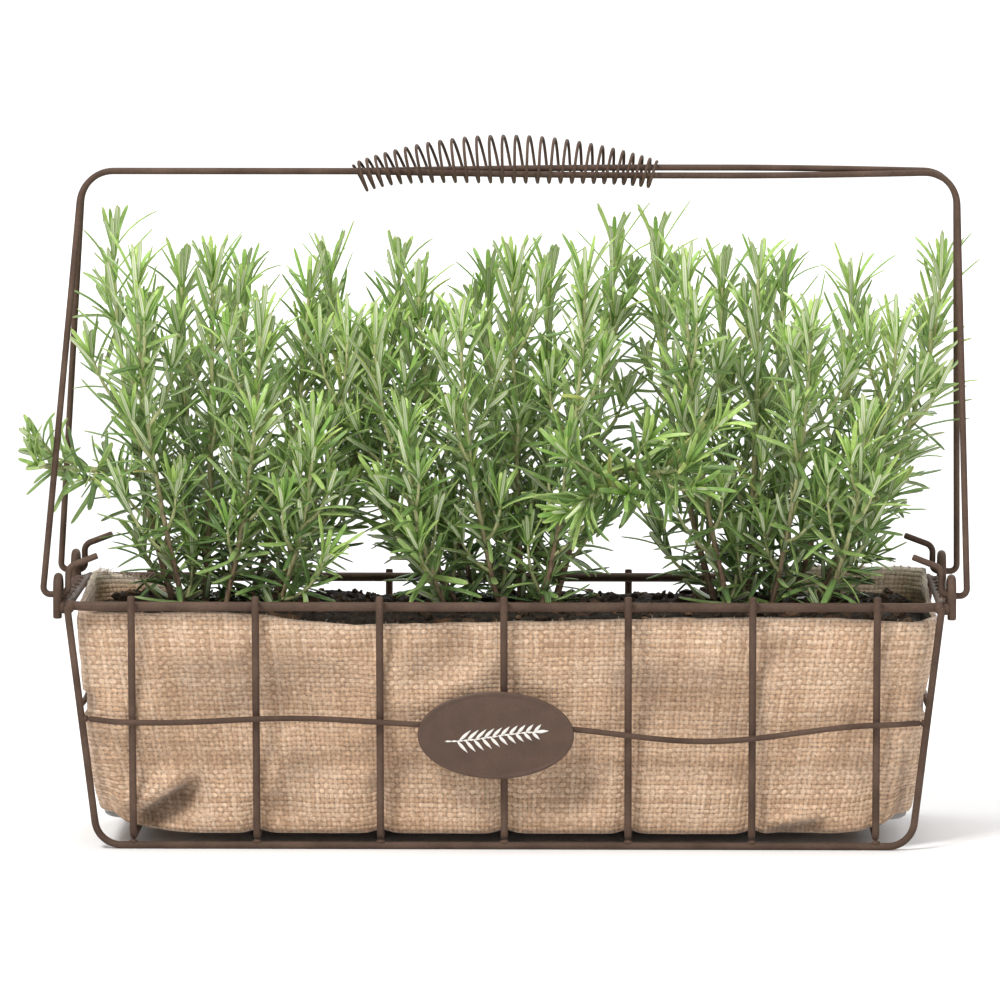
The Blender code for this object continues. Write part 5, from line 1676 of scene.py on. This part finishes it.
def grow_twig(path, share, needles, stems, space, chance, facing_angle):
    """A short side shoot with needles of its own."""
    base, along = place_on(path, share)
    out = across_stem(along, facing_angle)
    length = chance.uniform(0.018, 0.040) * mix(1.1, 0.75, share)
    first = (along + out * chance.uniform(0.7, 1.3)).normalized()
    last = (along + out * 0.25 + UP * 0.4).normalized()
    twig = [base]
    for step in range(7):
        twig.append(twig[-1] + (first.lerp(last, step / 6)).normalized() * length / 7)
    tip = twig[-1]
    if not needle_fits(base, (tip - base).normalized(), length + 0.010, space):
        return
    stems.append((twig, [mix(0.0010, 0.0005, step / 7) for step in range(8)], 0.80))
    settings = (
        lambda s: mix(0.0008, 0.0004, s),
        lambda s: mix(0.0185, 0.0190, s),
        NEEDLE_SPACING, 0.0, 0.12,
        lambda s: mix(0.20, 0.60, s) * (0.45 + 0.55 * share),
    )
    grow_leaves(twig, needles, space, chance, settings)


def grow_sprig(name, path, foot_radius, needles_material, stem_look, space, seed):
    chance = random.Random(seed)
    needles = Needles()
    stems = []
    height = path[-1].z - path[0].z
    tall = clamp(height / TALLEST_STEM)

    def radius_at(share):
        return mix(foot_radius * 0.80, 0.0008, share ** 0.6)

    def length_of(share):
        return mix(0.0215, 0.0270, math.sin(math.pi * clamp(share * 0.92)))

    def youth(share):
        return mix(0.0, 0.80, smooth(share * 1.25 - 0.30)) * mix(0.2, 1.0, tall)

    fine = []
    for step in range(STEM_STEPS + 1):
        place, _ = place_on(path, step / STEM_STEPS * SHOWN_SHARE)
        wobble = 0.0006 * math.sin(step / STEM_STEPS * math.pi)
        sway = Vector((noise.noise(place * 60), noise.noise(place * 60 + Vector((7, 0, 0))), 0))
        fine.append(place + sway * wobble)
    stems.append((fine, [radius_at(step / STEM_STEPS) for step in range(STEM_STEPS + 1)], None))
    settings = (radius_at, length_of, NEEDLE_SPACING, 0.28, 0.03, youth)
    grow_leaves(fine, needles, space, chance, settings)
    twigs = int(round(mix(4, 8, tall)))
    turn = chance.uniform(0, 6.28)
    for number in range(twigs):
        share = mix(0.04, 0.80, (number + chance.uniform(0.2, 0.8)) / twigs)
        turn += 2.4
        grow_twig(fine, share, needles, stems, space, chance, turn)
    points, faces, leaf, midrib, young = needles.build()
    stem_parts, stem_age = [], []
    for line, radii, age in stems:
        part = tube(line, np.array(radii), STEM_SIDES)
        stem_parts.append(part)
        rings = len(part[0]) // STEM_SIDES
        for ring in range(rings):
            share = ring / (rings - 1)
            own_age = clamp(share * 0.95 + (1 - tall) * 0.25) if age is None else age
            stem_age += [own_age] * STEM_SIDES
    stem_points, stem_faces = joined(stem_parts)
    start = len(points)
    faces += [tuple(corner + start for corner in face) for face in stem_faces]
    needle_faces = len(faces) - len(stem_faces)
    everything = np.vstack([points, stem_points])
    made = mesh_object(name, everything, faces, needles_material)
    made.data.materials.append(stem_look)
    slots = np.zeros(len(faces), np.int32)
    slots[needle_faces:] = 1
    made.data.polygons.foreach_set("material_index", slots)
    colours = np.vstack([leaf, np.tile((0.0, 0.0, 0.5, 1.0), (len(stem_points), 1))])
    layer = made.data.color_attributes.new("leaf", "FLOAT_COLOR", "POINT")
    layer.data.foreach_set("color", colours.astype(np.float32).ravel())
    point_values(made, "midrib", np.concatenate([midrib, np.zeros(len(stem_points))]))
    point_values(made, "young", np.concatenate([young, np.array(stem_age)]))
    return made


def make_plants(leaf_look, stem_look):
    taken = wires_to_avoid()
    shoots = []
    for name, plant_x, facing in PLANTS:
        first = None
        for index, (start, end, share, radius) in enumerate(SHOOTS):
            tip = Vector((plant_x + facing * end[0], end[1], ROOT_TOP + TALLEST_STEM * share))
            if start is None:
                place, _ = place_on(first, SIDE_SHOOT_ROUTE)
                lean_x, lean_y, lean_z = SIDE_SHOOT_LEAN
                outwards = Vector((facing * lean_x, lean_y, lean_z)).normalized()
                base = place + outwards * (SHOOTS[0][3] + radius + 2 * GAP)
            else:
                base = Vector((plant_x + facing * start[0], start[1], ROOT_TOP + GAP))
            path = clear_route(base, tip, radius, taken)
            first = first or path
            crown = path[-1] + (path[-1] - path[-2]).normalized() * CROWN_REACH
            taken.add_path([*path, crown], radius)
            if start is None:
                path = [place_on(first, SIDE_SHOOT_ROUTE - 0.01)[0], *path]
            else:
                path = [path[0] - Vector((0, 0, 0.004)), *path]
            shoots.append((f"{name}_rosemary_sprig_{index + 1:02d}", path, radius, index))
    wires = wires_to_avoid()
    for name, path, radius, index in shoots:
        made = grow_sprig(f"{name}_look", path, radius, leaf_look, stem_look, wires, 100 + index)
        finish_piece(made, "rosemary", name)


# Stage


def make_stage():
    m = Nodes("studio_floor")
    speck = m.noise(m.coords(), 3.0, 2)
    m.link(m.ramp(speck, (0.3, (0.86, 0.86, 0.86)), (0.7, (0.88, 0.88, 0.88))), m.shader.inputs["Base Color"])
    m.set(Roughness=0.9)
    points, faces = [], []
    profile = [(SWEEP_FRONT_Y, 0.0), (SWEEP_BEND_Y, 0.0)]
    for step in range(1, 13):
        angle = math.pi / 2 * step / 12
        y = SWEEP_BEND_Y + SWEEP_BEND_RADIUS * math.sin(angle)
        profile.append((y, SWEEP_BEND_RADIUS - SWEEP_BEND_RADIUS * math.cos(angle)))
    profile.append((SWEEP_BEND_Y + SWEEP_BEND_RADIUS, SWEEP_TOP))
    for y, z in profile:
        points += [(-SWEEP_HALF_WIDTH, y, z), (SWEEP_HALF_WIDTH, y, z)]
    for index in range(len(profile) - 1):
        faces.append((2 * index, 2 * index + 1, 2 * index + 3, 2 * index + 2))
    sweep = mesh_object("studio_sweep", points, faces, m.material)


def area_light(name, place, target, size, power, colour=(1.0, 1.0, 1.0)):
    data = bpy.data.lights.new(name, "AREA")
    data.shape = "RECTANGLE"
    data.size, data.size_y = size
    data.energy = power
    data.color = colour
    lamp = bpy.data.objects.new(name, data)
    bpy.context.scene.collection.objects.link(lamp)
    lamp.location = place
    lamp.rotation_euler = (Vector(target) - Vector(place)).to_track_quat("-Z", "Y").to_euler()


def make_light():
    world = bpy.data.worlds.new("studio")
    world.use_nodes = True
    back = world.node_tree.nodes["Background"]
    back.inputs["Color"].default_value = (0.97, 0.985, 1.0, 1)
    back.inputs["Strength"].default_value = 0.50
    bpy.context.scene.world = world
    area_light("key", (-1.0, -1.5, 2.2), LIGHT_TARGET, (0.7, 0.7), 62, (1.0, 0.985, 0.96))
    area_light("fill", (1.6, -1.8, 1.0), LIGHT_TARGET, (1.4, 1.4), 11)
    area_light("top", (0.0, 0.3, 2.2), LIGHT_TARGET, (1.6, 1.0), 22)
    area_light("backdrop", (0.0, 3.0, 2.6), (0.0, 6.4, 0.6), (5.0, 1.0), 170)
    area_light("back", (0.6, 1.8, 1.3), LIGHT_TARGET, (1.4, 1.0), 16)


def make_camera():
    data = bpy.data.cameras.new("photo_camera")
    data.sensor_width = 36
    data.lens = CAMERA_LENS
    data.clip_end = 30
    camera = bpy.data.objects.new("photo_camera", data)
    bpy.context.scene.collection.objects.link(camera)
    camera.location = CAMERA_PLACE
    camera.rotation_euler = (Vector(CAMERA_AIM) - camera.location).to_track_quat("-Z", "Y").to_euler()
    bpy.context.scene.camera = camera
    bpy.context.scene.view_settings.view_transform = "Standard"


def main():
    wire = wire_material()
    make_basket(wire)
    make_welds(wire)
    make_handle(wire)
    make_plate(plate_material(), motif_material())
    make_burlap(burlap_material(), fibre_material())
    make_film(film_material())
    soil = soil_material()
    make_soil(soil, crumb_material())
    make_root_balls(soil)
    make_plants(leaf_material(), stem_material())
    make_stage()
    make_light()
    make_camera()


main()
